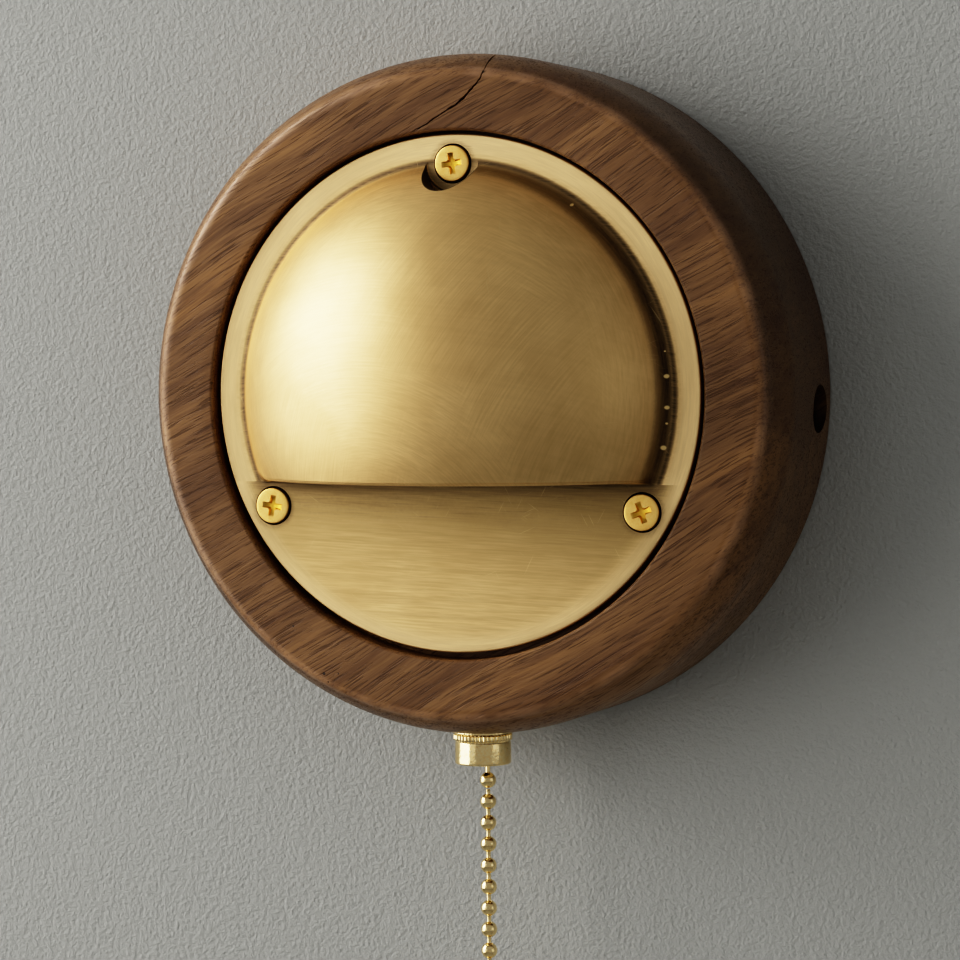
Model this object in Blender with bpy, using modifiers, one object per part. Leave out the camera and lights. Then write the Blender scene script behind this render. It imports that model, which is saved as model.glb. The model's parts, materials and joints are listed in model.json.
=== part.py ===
"""Pull-chain wall lamp: a turned wooden body, a brass face plate with a half-dome hood that lights
downwards, and a pull-chain switch whose threaded nozzle comes out under the body.

Origin: centre of the wall plane, where the bracket's back face lies.  +Z up, the lamp faces -Y.
All driving dimensions are in millimetres and are turned into metres by MM.
"""

import math

import bmesh
import bpy
from mathutils import Matrix, Vector

MM = 0.001

# Wooden body (turned about the Y axis)
WOOD_R = 66.2
WOOD_DEPTH = 33.5
WOOD_FACE_R = 61.8          # where the flat face ends
WOOD_SWELL_START = 24.0     # height above the wall where the side starts to curve in
WOOD_SWELL = 3.3            # how far it has curved in at the face
SEAT_R = 51.3               # recess for the face plate
SEAT_H = 28.0
CAVITY_R = 38.0
BACK_R = 54.0               # recess for the wall bracket
BACK_H = 13.0

# Brass plate and hood
PLATE_R = 50.0
PLATE_T = 3.7
PLATE_H = 32.0              # plate front above the wall
PLATE_Z = 0.35              # the plate sits a little high in its recess
HOOD_R = 44.3
HOOD_RISE = 26.0
HOOD_WALL = 2.4
HOOD_FILLET = 1.2
MOUTH_Z = -16.4
SCREW_PITCH_R = 44.3
SCREW_TURN = -0.34          # degrees
HEAD_R = 3.5
HEAD_PROUD = 0.7
HEAD_T = 2.4
SHANK_R = 1.95
CBORE_R = 3.9
NOTCH_R = 5.4               # the relief for the top screw in the hood's root

# Side screws that lock the body to the bracket
SIDE_Y = -7.6
SIDE_Z = -3.0
SIDE_CBORE_R = 4.65
SIDE_FLOOR_X = 61.0

# Pull switch
NOZZLE_Y = -18.0
FERRULE_R = 5.6
KNURL_R = 5.8
BUSH_R = 4.8
BUSH_BORE_R = 2.8
FLOOR_Z = -56.0
PULL_TRAVEL = 6.0
ROTOR_R = 12.0 / math.pi    # 90 degrees of turn for the whole travel
ROTOR_X = 1.5 - ROTOR_R
ROTOR_Z = -38.0

# Chain
CHAIN_X = 0.9
CHAIN_Y = -17.8
BEAD_R = 1.6
BEAD_PITCH = 4.24
LINK_R = 0.48
FIRST_BEAD_Z = -76.15
BEADS = 33

GAP = 0.3


def clear_scene():
    for obj in list(bpy.data.objects):
        bpy.data.objects.remove(obj, do_unlink=True)


clear_scene()
parts = bpy.data.collections.new("pull_chain_wall_lamp")
cutters = bpy.data.collections.new("cutters")
for group in (parts, cutters):
    bpy.context.scene.collection.children.link(group)


def material(name, colour, roughness, metallic=0.0):
    made = bpy.data.materials.new(name)
    made.use_nodes = True
    shader = made.node_tree.nodes["Principled BSDF"]
    shader.inputs["Base Color"].default_value = (*colour, 1.0)
    shader.inputs["Roughness"].default_value = roughness
    shader.inputs["Metallic"].default_value = metallic
    made.diffuse_color = (*colour, 1.0)
    return made


def add(name, mesh, where=(0, 0, 0), turn=(0, 0, 0), mat=None):
    """Link a mesh or curve as a part, or as a cutter when it has no material."""
    obj = bpy.data.objects.new(name, mesh)
    obj.location = Vector(where) * MM
    obj.rotation_euler = turn
    if mat is None:
        cutters.objects.link(obj)
        obj.hide_render = True
        obj.display_type = "WIRE"
    else:
        parts.objects.link(obj)
        mesh.materials.append(mat)
    return obj


TURNS = {
    "+Z": (0, 0, 0),
    "-Y": (math.pi / 2, 0, 0),
    "+X": (0, math.pi / 2, 0),
    "-X": (0, -math.pi / 2, 0),
    "-Z": (math.pi, 0, 0),
}


def turned(name, profile, axis="+Z", where=(0, 0, 0), mat=None, steps=32, closed=False):
    """A turned piece: profile points (radius, height) run from the top down the outside."""
    mesh = bpy.data.meshes.new(name)
    form = bmesh.new()
    verts = [form.verts.new((r * MM, 0.0, h * MM)) for r, h in profile]
    for a, b in zip(verts, verts[1:]):
        form.edges.new((a, b))
    if closed:
        form.edges.new((verts[-1], verts[0]))
    form.to_mesh(mesh)
    form.free()
    obj = add(name, mesh, where, TURNS[axis], mat)
    screw = obj.modifiers.new("turn", "SCREW")
    screw.axis = "Z"
    screw.steps = steps
    screw.render_steps = steps
    screw.use_merge_vertices = True
    screw.merge_threshold = 0.00002
    screw.use_smooth_shade = True
    return obj


def block(name, low, high, mat=None, bevel=0.0):
    low, high = Vector(low), Vector(high)
    mesh = bpy.data.meshes.new(name)
    form = bmesh.new()
    bmesh.ops.create_cube(form, size=1.0)
    bmesh.ops.scale(form, vec=(high - low) * MM, verts=form.verts)
    form.to_mesh(mesh)
    form.free()
    obj = add(name, mesh, (low + high) / 2, (0, 0, 0), mat)
    if bevel:
        edge = obj.modifiers.new("edges", "BEVEL")
        edge.width = bevel * MM
        edge.segments = 1
    return obj


def rod(name, radius, low, high, axis, where, mat=None, steps=20):
    """A plain cylinder from low to high along an axis through where."""
    return turned(name, [(0, high), (radius, high), (radius, low), (0, low)], axis, where, mat, steps)


def stepped(name, wide, top, step, narrow, bottom, axis, where, steps=24):
    """Cutter for a counterbored hole."""
    return turned(
        name,
        [(0, top), (wide, top), (wide, step), (narrow, step), (narrow, bottom), (0, bottom)],
        axis,
        where,
        steps=steps,
    )


def boolean(obj, other, operation="DIFFERENCE"):
    mod = obj.modifiers.new(other.name, "BOOLEAN")
    mod.operation = operation
    mod.solver = "EXACT"
    mod.object = other


def outline(name, loops, thickness, where, mat):
    """A flat piece in the XZ plane: a filled 2D curve with half its thickness extruded each way."""
    curve = bpy.data.curves.new(name, "CURVE")
    curve.dimensions = "2D"
    curve.fill_mode = "BOTH"
    curve.extrude = thickness / 2 * MM
    for points in loops:
        spline = curve.splines.new("POLY")
        spline.points.add(len(points) - 1)
        for point, (x, y) in zip(spline.points, points):
            point.co = (x * MM, y * MM, 0.0, 1.0)
        spline.use_cyclic_u = True
    return add(name, curve, where, (math.pi / 2, 0, 0), mat)


def smooth_route(points, spacing):
    """Points at an even spacing on a smooth curve through the given ones."""
    pts = [Vector(p) for p in points]
    pts = [2 * pts[0] - pts[1]] + pts + [2 * pts[-1] - pts[-2]]
    fine = []
    for i in range(1, len(pts) - 2):
        p0, p1, p2, p3 = pts[i - 1 : i + 3]
        for k in range(40):
            t = k / 40
            fine.append(
                0.5
                * (
                    2 * p1
                    + (p2 - p0) * t
                    + (2 * p0 - 5 * p1 + 4 * p2 - p3) * t**2
                    + (3 * p1 - p0 - 3 * p2 + p3) * t**3
                )
            )
    fine.append(pts[-2])
    length = [0.0]
    for a, b in zip(fine, fine[1:]):
        length.append(length[-1] + (b - a).length)
    count = max(3, round(length[-1] / spacing) + 1)
    out, j = [], 0
    for k in range(count):
        want = length[-1] * k / (count - 1)
        while j < len(fine) - 2 and length[j + 1] < want:
            j += 1
        span = length[j + 1] - length[j]
        out.append(fine[j].lerp(fine[j + 1], 0 if span == 0 else (want - length[j]) / span))
    return out


def wire(name, points, radius, mat, resolution=1):
    curve = bpy.data.curves.new(name, "CURVE")
    curve.dimensions = "3D"
    curve.bevel_depth = radius * MM
    curve.bevel_resolution = resolution
    curve.use_fill_caps = True
    spline = curve.splines.new("POLY")
    spline.points.add(len(points) - 1)
    for point, place in zip(spline.points, points):
        point.co = (*(Vector(place) * MM), 1.0)
    return add(name, curve, (0, 0, 0), (0, 0, 0), mat)


def on_circle(radius, degrees, x=0.0, z=0.0):
    a = math.radians(degrees)
    return x + radius * math.cos(a), z + radius * math.sin(a)


walnut = material("walnut", (0.17, 0.075, 0.035), 0.5)
aged_brass = material("antique_brass", (0.62, 0.47, 0.24), 0.36, 1.0)
screw_brass = material("screw_brass", (0.85, 0.62, 0.22), 0.28, 1.0)
bright_brass = material("polished_brass", (0.83, 0.65, 0.33), 0.2, 1.0)
frosted = material("frosted_acrylic", (0.92, 0.92, 0.9), 0.6)
alloy = material("aluminium", (0.75, 0.76, 0.78), 0.4, 1.0)
circuit = material("circuit_board", (0.9, 0.9, 0.88), 0.5)
emitter = material("led_phosphor", (0.95, 0.8, 0.3), 0.5)
white_case = material("white_polycarbonate", (0.85, 0.85, 0.83), 0.45)
foam = material("foam_tape", (0.2, 0.2, 0.2), 0.9)
zinc = material("zinc_plated_steel", (0.6, 0.61, 0.62), 0.35, 1.0)
rubber = material("grommet_rubber", (0.03, 0.03, 0.03), 0.8)
phenolic = material("black_phenolic", (0.03, 0.028, 0.026), 0.4)
nylon = material("nylon", (0.8, 0.78, 0.7), 0.5)
steel = material("spring_steel", (0.55, 0.56, 0.58), 0.3, 1.0)
red_wire = material("red_insulation", (0.5, 0.04, 0.03), 0.5)
blue_wire = material("blue_insulation", (0.05, 0.12, 0.45), 0.5)
brown_wire = material("brown_insulation", (0.2, 0.09, 0.04), 0.5)
black_wire = material("black_insulation", (0.02, 0.02, 0.02), 0.5)
green_wire = material("green_insulation", (0.08, 0.35, 0.1), 0.5)

# ---------------------------------------------------------------- wooden body
swell_end = WOOD_DEPTH - 0.9
side = []
for k in range(7):
    h = swell_end - (swell_end - WOOD_SWELL_START) * k / 6
    side.append((WOOD_R - WOOD_SWELL * ((h - WOOD_SWELL_START) / (swell_end - WOOD_SWELL_START)) ** 2, h))
wood_body = turned(
    "wood_body",
    [(WOOD_FACE_R, WOOD_DEPTH), ((WOOD_FACE_R + side[0][0]) / 2 + 0.25, WOOD_DEPTH - 0.3)]
    + side
    + [(WOOD_R, 0.6), (WOOD_R - 0.6, 0.0), (BACK_R, 0.0), (BACK_R, BACK_H), (CAVITY_R, BACK_H)]
    + [(CAVITY_R, SEAT_H), (SEAT_R, SEAT_H), (SEAT_R, WOOD_DEPTH - 0.5), (SEAT_R + 0.5, WOOD_DEPTH)],
    "-Y",
    mat=walnut,
    steps=48,
    closed=True,
)
boolean(wood_body, block("cut_switch_pocket", (-13.8, -25.6, -56.6), (13.8, -8.6, -30.0)))
boolean(wood_body, stepped("cut_nozzle_hole", 6.8, 75, 65.6, 5.3, 50, "-Z", (0, NOZZLE_Y, 0)))
for side_name, axis in (("left", "-X"), ("right", "+X")):
    here = (0, SIDE_Y, SIDE_Z)
    boolean(wood_body, stepped("cut_side_hole_" + side_name, SIDE_CBORE_R, 72, SIDE_FLOOR_X, 2.3, 48, axis, here))

SCREW_ANGLES = {"top": 90.0, "left": 210.0, "right": 330.0}
screw_spots = {
    name: on_circle(SCREW_PITCH_R, angle + SCREW_TURN, 0.0, PLATE_Z) for name, angle in SCREW_ANGLES.items()
}
for name, (x, z) in screw_spots.items():
    boolean(wood_body, rod("cut_insert_bore_" + name, 3.5, 17.5, 29.5, "-Y", (x, 0, z), steps=16))

# ---------------------------------------------------------------- brass plate with its hood
def dome(radius_offset, rings):
    """Profile of the hood's dome, top to plate level, at an offset inside the outer surface."""
    ball = (HOOD_R**2 + HOOD_RISE**2) / (2 * HOOD_RISE)
    centre = HOOD_RISE - ball
    ball -= radius_offset
    return ball, centre, [
        (ball * math.sin(a), centre + ball * math.cos(a))
        for a in (rings[1] * k / rings[0] for k in range(rings[0] + 1))
    ]


ball, centre, outer = dome(0.0, (8, math.radians(57.0)))
top_r, top_h = outer[-1]
fillet = [
    (top_r + (HOOD_R + HOOD_FILLET - top_r) * t, top_h * (1 - t) ** 2) for t in (0.25, 0.5, 0.75, 1.0)
]
hood_plate = turned(
    "hood_plate",
    outer + fillet + [(PLATE_R - 0.4, 0.0), (PLATE_R, -0.4), (PLATE_R, -PLATE_T), (0.0, -PLATE_T)],
    "-Y",
    (0, -PLATE_H, PLATE_Z),
    aged_brass,
    steps=48,
)
boolean(hood_plate, block("cut_mouth", (-60, -PLATE_H - 40, -70), (60, -PLATE_H - 0.05, MOUTH_Z)))


def inner_dome(name, offset, floor):
    inner_ball, inner_centre, points = dome(offset, (8, math.radians(50.0)))
    rim = math.sqrt(inner_ball**2 - (floor - inner_centre) ** 2)
    return turned(name, points + [(rim, floor), (0.0, floor)], "-Y", (0, -PLATE_H, PLATE_Z), steps=48)


boolean(hood_plate, inner_dome("cut_hood_hollow", HOOD_WALL, 0.4))
boolean(hood_plate, block("cut_light_window", (-22, -PLATE_H - 1, -2), (22, -PLATE_H + 6, 14)))
for name, (x, z) in screw_spots.items():
    if name == "top":
        boolean(hood_plate, rod("cut_hood_notch", NOTCH_R, PLATE_H + 0.06, 50.0, "-Y", (x, 0, z), steps=24))
    boolean(hood_plate, stepped("cut_screw_hole_" + name, CBORE_R, 50.0, 30.0, 2.3, 26.0, "-Y", (x, 0, z)))
for name, x in (("left", -28.0), ("right", 28.0)):
    boolean(hood_plate, rod("cut_tapped_hole_" + name, 1.8, 27.0, 30.6, "-Y", (x, 0, 6), steps=12))


def cross_screw(name, head_r, head_t, shank_r, length, axis, where, mat, cross=0.0, turn=0.0, steps=24):
    """A cheese-head screw: the top of its head is at the origin height and its shank runs down."""
    obj = turned(
        name,
        [(0, 0), (head_r - 0.35, 0), (head_r, -0.35), (head_r, -head_t), (shank_r, -head_t)]
        + [(shank_r, -length + 0.5), (shank_r - 0.5, -length), (0, -length)],
        axis,
        where,
        mat,
        steps,
    )
    if cross:
        for k in range(2):
            mesh = bpy.data.meshes.new("cross")
            form = bmesh.new()
            bmesh.ops.create_cube(form, size=1.0)
            bmesh.ops.scale(form, vec=(2 * 0.57 * head_r * MM, cross * MM, 3.0 * MM), verts=form.verts)
            spin = Matrix.Rotation(math.radians(turn) + k * math.pi / 2, 3, "Z")
            bmesh.ops.rotate(form, verts=form.verts, cent=(0, 0, 0), matrix=spin)
            form.to_mesh(mesh)
            form.free()
            boolean(obj, add("cut_%s_%d" % (name, k), mesh, where, TURNS[axis]))
    return obj


CROSS_TURN = {"top": 8.0, "left": -8.0, "right": 20.0}
for name, (x, z) in screw_spots.items():
    cross_screw(
        "face_screw_" + name,
        HEAD_R,
        HEAD_T,
        SHANK_R,
        13.7,
        "-Y",
        (x, -PLATE_H - HEAD_PROUD, z),
        screw_brass,
        cross=1.0,
        turn=CROSS_TURN[name],
        steps=28,
    )
    turned(
        "threaded_insert_" + name,
        [(3.2, 27.7), (3.2, 18.4), (2.9, 18.0), (2.3, 18.0), (2.3, 27.7)],
        "-Y",
        (x, 0, z),
        bright_brass,
        steps=16,
        closed=True,
    )

# ---------------------------------------------------------------- light engine behind the hood
slab = block("diffuser_slab", (-50, -70, MOUTH_Z + 1.4), (50, -PLATE_H - 0.8, MOUTH_Z + 3.2), frosted)
slab.name = "hood_diffuser"
boolean(slab, inner_dome("diffuser_outline", HOOD_WALL + GAP, 0.7), "INTERSECT")

heat_sink = block("heat_sink", (-32, -27.7, -4), (32, -24.7, 16), alloy)
boolean(heat_sink, block("join_tongue", (-18, -45.0, 3.0), (18, -26.0, 6.0)), "UNION")
boolean(heat_sink, rod("cut_lead_hole", 2.6, 20.0, 30.0, "-Y", (0, 0, -0.6), steps=16))
for name, x in (("left", -28.0), ("right", 28.0)):
    boolean(heat_sink, rod("cut_sink_hole_" + name, 1.8, 20.0, 30.0, "-Y", (x, 0, 6), steps=12))
    turned(
        "heat_sink_screw_" + name,
        [(0, 30.3), (1.45, 30.3), (1.45, 24.4), (2.75, 24.4), (2.75, 22.8), (0, 22.8)],
        "-Y",
        (x, 0, 6),
        zinc,
        steps=12,
    )
block("led_board", (-17, -44.0, 1.1), (17, -30.0, 2.7), circuit)
block("led_strip", (-13, -40.0, 0.2), (13, -36.0, 0.8), emitter)

# ---------------------------------------------------------------- driver, terminals and bracket
driver_case = block("driver_case", (-23, -17.0, 5), (23, -4.3, 26), white_case)
boolean(driver_case, block("cut_driver_inside", (-21.5, -20.0, 6.5), (21.5, -5.8, 24.5)))
block("driver_cover", (-23, -18.8, 5), (23, -17.3, 26), white_case, bevel=0.4)
block("driver_pad", (-15, -4.0, 9), (15, -2.3, 22), foam)

terminal_block = block("terminal_block", (-18, -13.5, -22), (18, -2.3, -10), nylon, bevel=0.5)
for k, x in enumerate((-11.0, 0.0, 11.0), 1):
    boolean(terminal_block, rod("cut_terminal_%d" % k, 2.4, 7.5, 16.0, "-Y", (x, 0, -16), steps=16))
    rod("terminal_screw_%d" % k, 2.0, 7.9, 12.6, "-Y", (x, 0, -16), zinc, steps=16)

wall_bracket = rod("wall_bracket", 50.0, 0.0, 2.0, "-Y", (0, 0, 0), zinc, steps=48)
for name, x in (("left", -1), ("right", 1)):
    low, high = sorted((48.0 * x, 50.0 * x))
    boolean(wall_bracket, block("join_tab_" + name, (low, -12.0, SIDE_Z - 6), (high, -1.0, SIDE_Z + 6)), "UNION")
    boolean(
        wall_bracket,
        rod("cut_tab_hole_" + name, 2.3, 44, 54, "+X" if x > 0 else "-X", (0, SIDE_Y, SIDE_Z), steps=16),
    )
    slot = rod("cut_slot_" + name, 2.5, -2, 5, "-Y", (36 * x, 0, 1.5), steps=16)
    boolean(wall_bracket, slot)
    boolean(wall_bracket, rod("cut_slot_top_" + name, 2.5, -3, 6, "-Y", (36 * x, 0, 10.5), steps=16))
    boolean(wall_bracket, block("cut_slot_run_" + name, (36 * x - 2.48, -4, 1.5), (36 * x + 2.48, 3, 10.5)))
boolean(wall_bracket, rod("cut_cable_hole", 7.0, -2, 5, "-Y", (-32, 0, -24), steps=24))
boolean(wall_bracket, rod("cut_earth_hole", 2.3, -2, 5, "-Y", (32, 0, -24), steps=16))
turned(
    "cable_grommet",
    [(8.5, 3.8), (8.5, 2.3), (6.7, 2.3), (6.7, 0.3), (3.5, 0.3), (3.5, 3.8)],
    "-Y",
    (-32, 0, -24),
    rubber,
    steps=24,
    closed=True,
)
cross_screw("earth_screw", 3.5, 2.2, SHANK_R, 4.2, "-Y", (32, -4.5, -24), screw_brass, steps=16)
for name, axis in (("left", "-X"), ("right", "+X")):
    sign = 1 if axis == "+X" else -1
    cross_screw(
        "side_screw_" + name,
        3.6,
        2.6,
        SHANK_R,
        18.0,
        axis,
        (sign * (SIDE_FLOOR_X + GAP + 2.6), SIDE_Y, SIDE_Z),
        zinc,
        cross=1.0,
        steps=20,
    )

# ---------------------------------------------------------------- pull switch, fixed pieces
switch_housing = block("switch_housing", (-13, -25.0, FLOOR_Z), (13, -11.0, -28.0), phenolic)
boolean(switch_housing, block("cut_switch_inside", (-11.6, -23.8, FLOOR_Z + 1.5), (11.6, -8.0, -29.5)))
boolean(switch_housing, rod("cut_bush_hole", 5.1, -60, -53, "+Z", (0, NOZZLE_Y, 0), steps=24))
boolean(switch_housing, rod("cut_pin_hole", 1.3, 22, 28, "-Y", (ROTOR_X, 0, ROTOR_Z), steps=12))
for name, x in (("live", -10.7), ("load", 10.7)):
    boolean(switch_housing, block("cut_tag_slot_" + name, (x - 0.8, -16.6, -31), (x + 0.8, -15.0, -26)))
block("switch_cover", (-13, -10.7, FLOOR_Z), (13, -9.2, -28.0), phenolic, bevel=0.4)
turned(
    "threaded_bush",
    [(5.6, -53.0), (5.6, -54.2), (BUSH_R, -54.2), (BUSH_R, -71.2), (2.0, -71.2), (2.0, -70.0)]
    + [(BUSH_BORE_R, -70.0), (BUSH_BORE_R, -53.0)],
    "+Z",
    (0, NOZZLE_Y, 0),
    bright_brass,
    steps=24,
    closed=True,
)
turned(
    "bush_washer",
    [(6.3, -65.9), (6.3, -66.5), (5.1, -66.5), (5.1, -65.9)],
    "+Z",
    (0, NOZZLE_Y, 0),
    bright_brass,
    steps=24,
    closed=True,
)
turned(
    "ferrule_nut",
    [(KNURL_R, -66.8), (KNURL_R, -68.0), (FERRULE_R, -68.2), (FERRULE_R, -72.3), (FERRULE_R - 0.5, -72.8)]
    + [(2.0, -72.8), (2.0, -71.5), (5.1, -71.5), (5.1, -66.8)],
    "+Z",
    (0, NOZZLE_Y, 0),
    bright_brass,
    steps=32,
    closed=True,
)
contact_live = block("fixed_contact_live", (-11.2, -16.2, ROTOR_Z - 1.5), (-6.3, -15.4, ROTOR_Z + 1.5), bright_brass)
boolean(contact_live, block("join_tag_live", (-11.2, -16.19, ROTOR_Z), (-10.2, -15.41, -25.0)), "UNION")
contact_load = block("fixed_contact_load", (1.7, -16.2, ROTOR_Z - 1.5), (11.2, -15.4, ROTOR_Z + 1.5), bright_brass)
boolean(contact_load, block("join_tag_load", (10.2, -16.19, ROTOR_Z), (11.2, -15.41, -25.0)), "UNION")
rod("rotor_pin", 1.0, 11.0, 24.7, "-Y", (ROTOR_X, 0, ROTOR_Z), steel, steps=16)

# ---------------------------------------------------------------- pull switch, moving pieces
slider_origin = bpy.data.objects.new("pull_slide_axis", None)
slider_origin.location = Vector((CHAIN_X, CHAIN_Y, FIRST_BEAD_Z)) * MM
parts.objects.link(slider_origin)

pull_slider = block("pull_slider", (1.7, -21.3, -45.5), (5.6, -19.3, -31.0), nylon)
boolean(pull_slider, block("join_foot", (-3.2, -21.4, -46.0), (5.5, -14.6, -44.8)), "UNION")
boolean(pull_slider, rod("cut_rod_hole", 0.8, -48, -43, "+Z", (CHAIN_X, CHAIN_Y, 0), steps=12))
tooth = 2 * math.pi * ROTOR_R / 16
for k in range(6):
    z = ROTOR_Z + (k - 1) * tooth
    boolean(pull_slider, block("cut_rack_%d" % k, (1.0, -22, z - tooth / 4), (2.1, -16, z + tooth / 4)))

turned(
    "pull_rod",
    [(0, -43.6), (1.2, -43.6), (1.2, -44.5), (LINK_R, -44.5), (LINK_R, FIRST_BEAD_Z + BEAD_R + 0.15)]
    + [(0, FIRST_BEAD_Z + BEAD_R + 0.15)],
    "+Z",
    (CHAIN_X, CHAIN_Y, 0),
    bright_brass,
    steps=10,
)
coil = []
COIL_TURNS, COIL_R, COIL_WIRE = 8, 2.2, 0.3
COIL_TOP, COIL_FOOT = -46.0 - GAP - COIL_WIRE, -70.0 + GAP + COIL_WIRE
for k in range(COIL_TURNS * 10 + 1):
    x, y = on_circle(COIL_R, 36 * k, 0.0, NOZZLE_Y)
    coil.append((x, y, COIL_TOP + (COIL_FOOT - COIL_TOP) * k / (COIL_TURNS * 10)))
wire("return_spring", coil, COIL_WIRE, steel)

gear = []
for k in range(16):
    for part, radius in ((0.0, 3.25), (0.25, 3.65), (0.5, 3.65), (0.75, 3.25)):
        a = 360.0 * (k + part) / 16 + 5.6
        gear.append(on_circle(radius, a))
outline(
    "contact_wheel",
    [gear, [on_circle(1.3, -30.0 * k) for k in range(12)]],
    4.0,
    (ROTOR_X, -18.5, ROTOR_Z),
    phenolic,
)
outline(
    "rotor_contact",
    [[(-3.2, -1.9), (3.2, -1.9), (3.2, 1.9), (-3.2, 1.9)], [on_circle(1.3, -30.0 * k) for k in range(12)]],
    0.8,
    (ROTOR_X, -15.8, ROTOR_Z),
    bright_brass,
)

# ---------------------------------------------------------------- ball chain
rings = 8
turned(
    "first_bead",
    [(BEAD_R * math.sin(math.pi * k / rings), BEAD_R * math.cos(math.pi * k / rings)) for k in range(rings + 1)],
    "+Z",
    (CHAIN_X, CHAIN_Y, FIRST_BEAD_Z),
    bright_brass,
    steps=12,
)
start = FIRST_BEAD_Z - BEAD_R - 0.15
chain = [(0, start), (LINK_R, start)]
for n in range(1, BEADS):
    z = FIRST_BEAD_Z - n * BEAD_PITCH
    edge = math.asin(LINK_R / BEAD_R)
    for k in range(5):
        a = edge + (math.pi - 2 * edge) * k / 4
        chain.append((BEAD_R * math.sin(a), z + BEAD_R * math.cos(a)))
end = FIRST_BEAD_Z - (BEADS - 1) * BEAD_PITCH - BEAD_R - 0.5
chain += [(LINK_R, end), (0, end)]
turned("pull_chain", chain, "+Z", (CHAIN_X, CHAIN_Y, 0), bright_brass, steps=8)
bell_top = end - GAP
turned(
    "chain_end_bell",
    [(0, bell_top), (1.3, bell_top), (1.7, bell_top - 0.4), (1.75, bell_top - 3.0), (2.1, bell_top - 5.0)]
    + [(2.9, bell_top - 8.0), (3.1, bell_top - 9.6), (2.8, bell_top - 10.7), (1.9, bell_top - 11.3), (0, bell_top - 11.3)],
    "+Z",
    (CHAIN_X, CHAIN_Y, 0),
    bright_brass,
    steps=16,
)

# ---------------------------------------------------------------- wiring
wire("switch_live_wire", smooth_route(
    [(-10.7, -15.8, -23.8), (-10.8, -13.6, -23.6), (-11.0, -10.4, -24.6), (-11.0, -8.0, -24.4), (-11.0, -7.2, -22.4)], 1.6),
    0.7, brown_wire)
wire("switch_load_wire", smooth_route(
    [(10.7, -15.8, -23.8), (13.5, -16.6, -19.5), (20.5, -17.0, -10.0), (21.0, -15.5, -2.0), (19.0, -12.0, 4.5)], 3.0),
    0.8, red_wire)
wire("neutral_wire", smooth_route(
    [(0.0, -8.0, -9.6), (-1.5, -8.0, -5.5), (-4.5, -8.4, -0.5), (-6.0, -9.0, 4.6)], 3.0), 0.8, blue_wire)
for name, s, mat in (("led_lead_pos", 1, red_wire), ("led_lead_neg", -1, black_wire)):
    wire(name, smooth_route(
        [(3 * s, -19.6, 10.0), (3 * s, -21.6, 7.5), (2.4 * s, -22.3, 3.0), (1.6 * s, -23.6, 0.3)]
        + [(1.2 * s, -26.0, -0.6), (1.2 * s, -29.0, -0.6), (1.2 * s, -32.5, 0.1)], 2.0), 0.6, mat)
wire("earth_wire", smooth_route(
    [(27.8, -3.8, -24.0), (25.0, -4.6, -22.8), (21.5, -6.4, -18.6), (18.5, -8.0, -16.0)], 2.4), 0.8, green_wire)

for obj in parts.objects:
    if obj.type == "MESH" and not obj.modifiers:
        obj.data.shade_flat()

moving = ("pull_slider", "pull_rod", "return_spring", "first_bead", "pull_chain", "chain_end_bell")
bpy.context.view_layer.update()
for name in moving:
    obj = bpy.data.objects[name]
    obj.parent = slider_origin
    obj.matrix_parent_inverse = slider_origin.matrix_world.inverted()
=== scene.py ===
"""Looks of the pull-chain wall lamp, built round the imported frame."""

import json
import math
import random

import bmesh
import bpy
from mathutils import Matrix, Vector


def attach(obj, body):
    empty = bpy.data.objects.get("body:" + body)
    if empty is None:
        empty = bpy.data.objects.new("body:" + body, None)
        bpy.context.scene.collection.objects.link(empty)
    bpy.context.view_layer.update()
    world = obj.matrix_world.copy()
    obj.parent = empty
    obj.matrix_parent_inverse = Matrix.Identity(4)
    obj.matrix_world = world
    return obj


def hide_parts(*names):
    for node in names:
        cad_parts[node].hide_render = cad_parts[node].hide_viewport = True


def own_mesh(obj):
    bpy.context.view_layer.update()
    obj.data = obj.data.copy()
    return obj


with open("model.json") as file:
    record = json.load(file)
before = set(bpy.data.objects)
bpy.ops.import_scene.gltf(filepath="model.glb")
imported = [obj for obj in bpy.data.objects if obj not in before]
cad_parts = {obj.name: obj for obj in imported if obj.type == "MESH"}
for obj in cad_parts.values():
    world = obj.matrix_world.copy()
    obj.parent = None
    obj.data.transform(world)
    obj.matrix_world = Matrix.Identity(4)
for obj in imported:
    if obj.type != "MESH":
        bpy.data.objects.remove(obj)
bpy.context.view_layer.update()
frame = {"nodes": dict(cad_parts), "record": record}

MM = 0.001
scene = bpy.context.scene

# ------------------------------------------------------------------ camera
cam_data = bpy.data.cameras.new("camera")
cam_data.sensor_width = 36.0
cam_data.lens = 3286.594 / 960 * 36.0
cam_data.clip_start, cam_data.clip_end = 0.02, 20.0
camera = bpy.data.objects.new("camera", cam_data)
scene.collection.objects.link(camera)
turn, lift, roll = (math.radians(a) for a in (21.658, 2.487, -0.473))
back = Vector((math.sin(turn) * math.cos(lift), -math.cos(turn) * math.cos(lift), math.sin(lift)))
right = Vector((math.cos(turn), math.sin(turn), 0.0))
up = back.cross(right)
right, up = right * math.cos(roll) + up * math.sin(roll), up * math.cos(roll) - right * math.sin(roll)
place = (Vector((5.364, -32.0, -16.159)) + back * 632.026) * MM
camera.matrix_world = Matrix(
    (
        (right.x, up.x, back.x, place.x),
        (right.y, up.y, back.y, place.y),
        (right.z, up.z, back.z, place.z),
        (0, 0, 0, 1),
    )
)
scene.camera = camera


# ------------------------------------------------------------------ mesh helpers
def link(name, mesh, smooth=40.0):
    obj = bpy.data.objects.new(name, mesh)
    scene.collection.objects.link(obj)
    if smooth is not None:
        mesh.shade_smooth()
        mesh.set_sharp_from_angle(angle=math.radians(smooth))
    return obj


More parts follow.
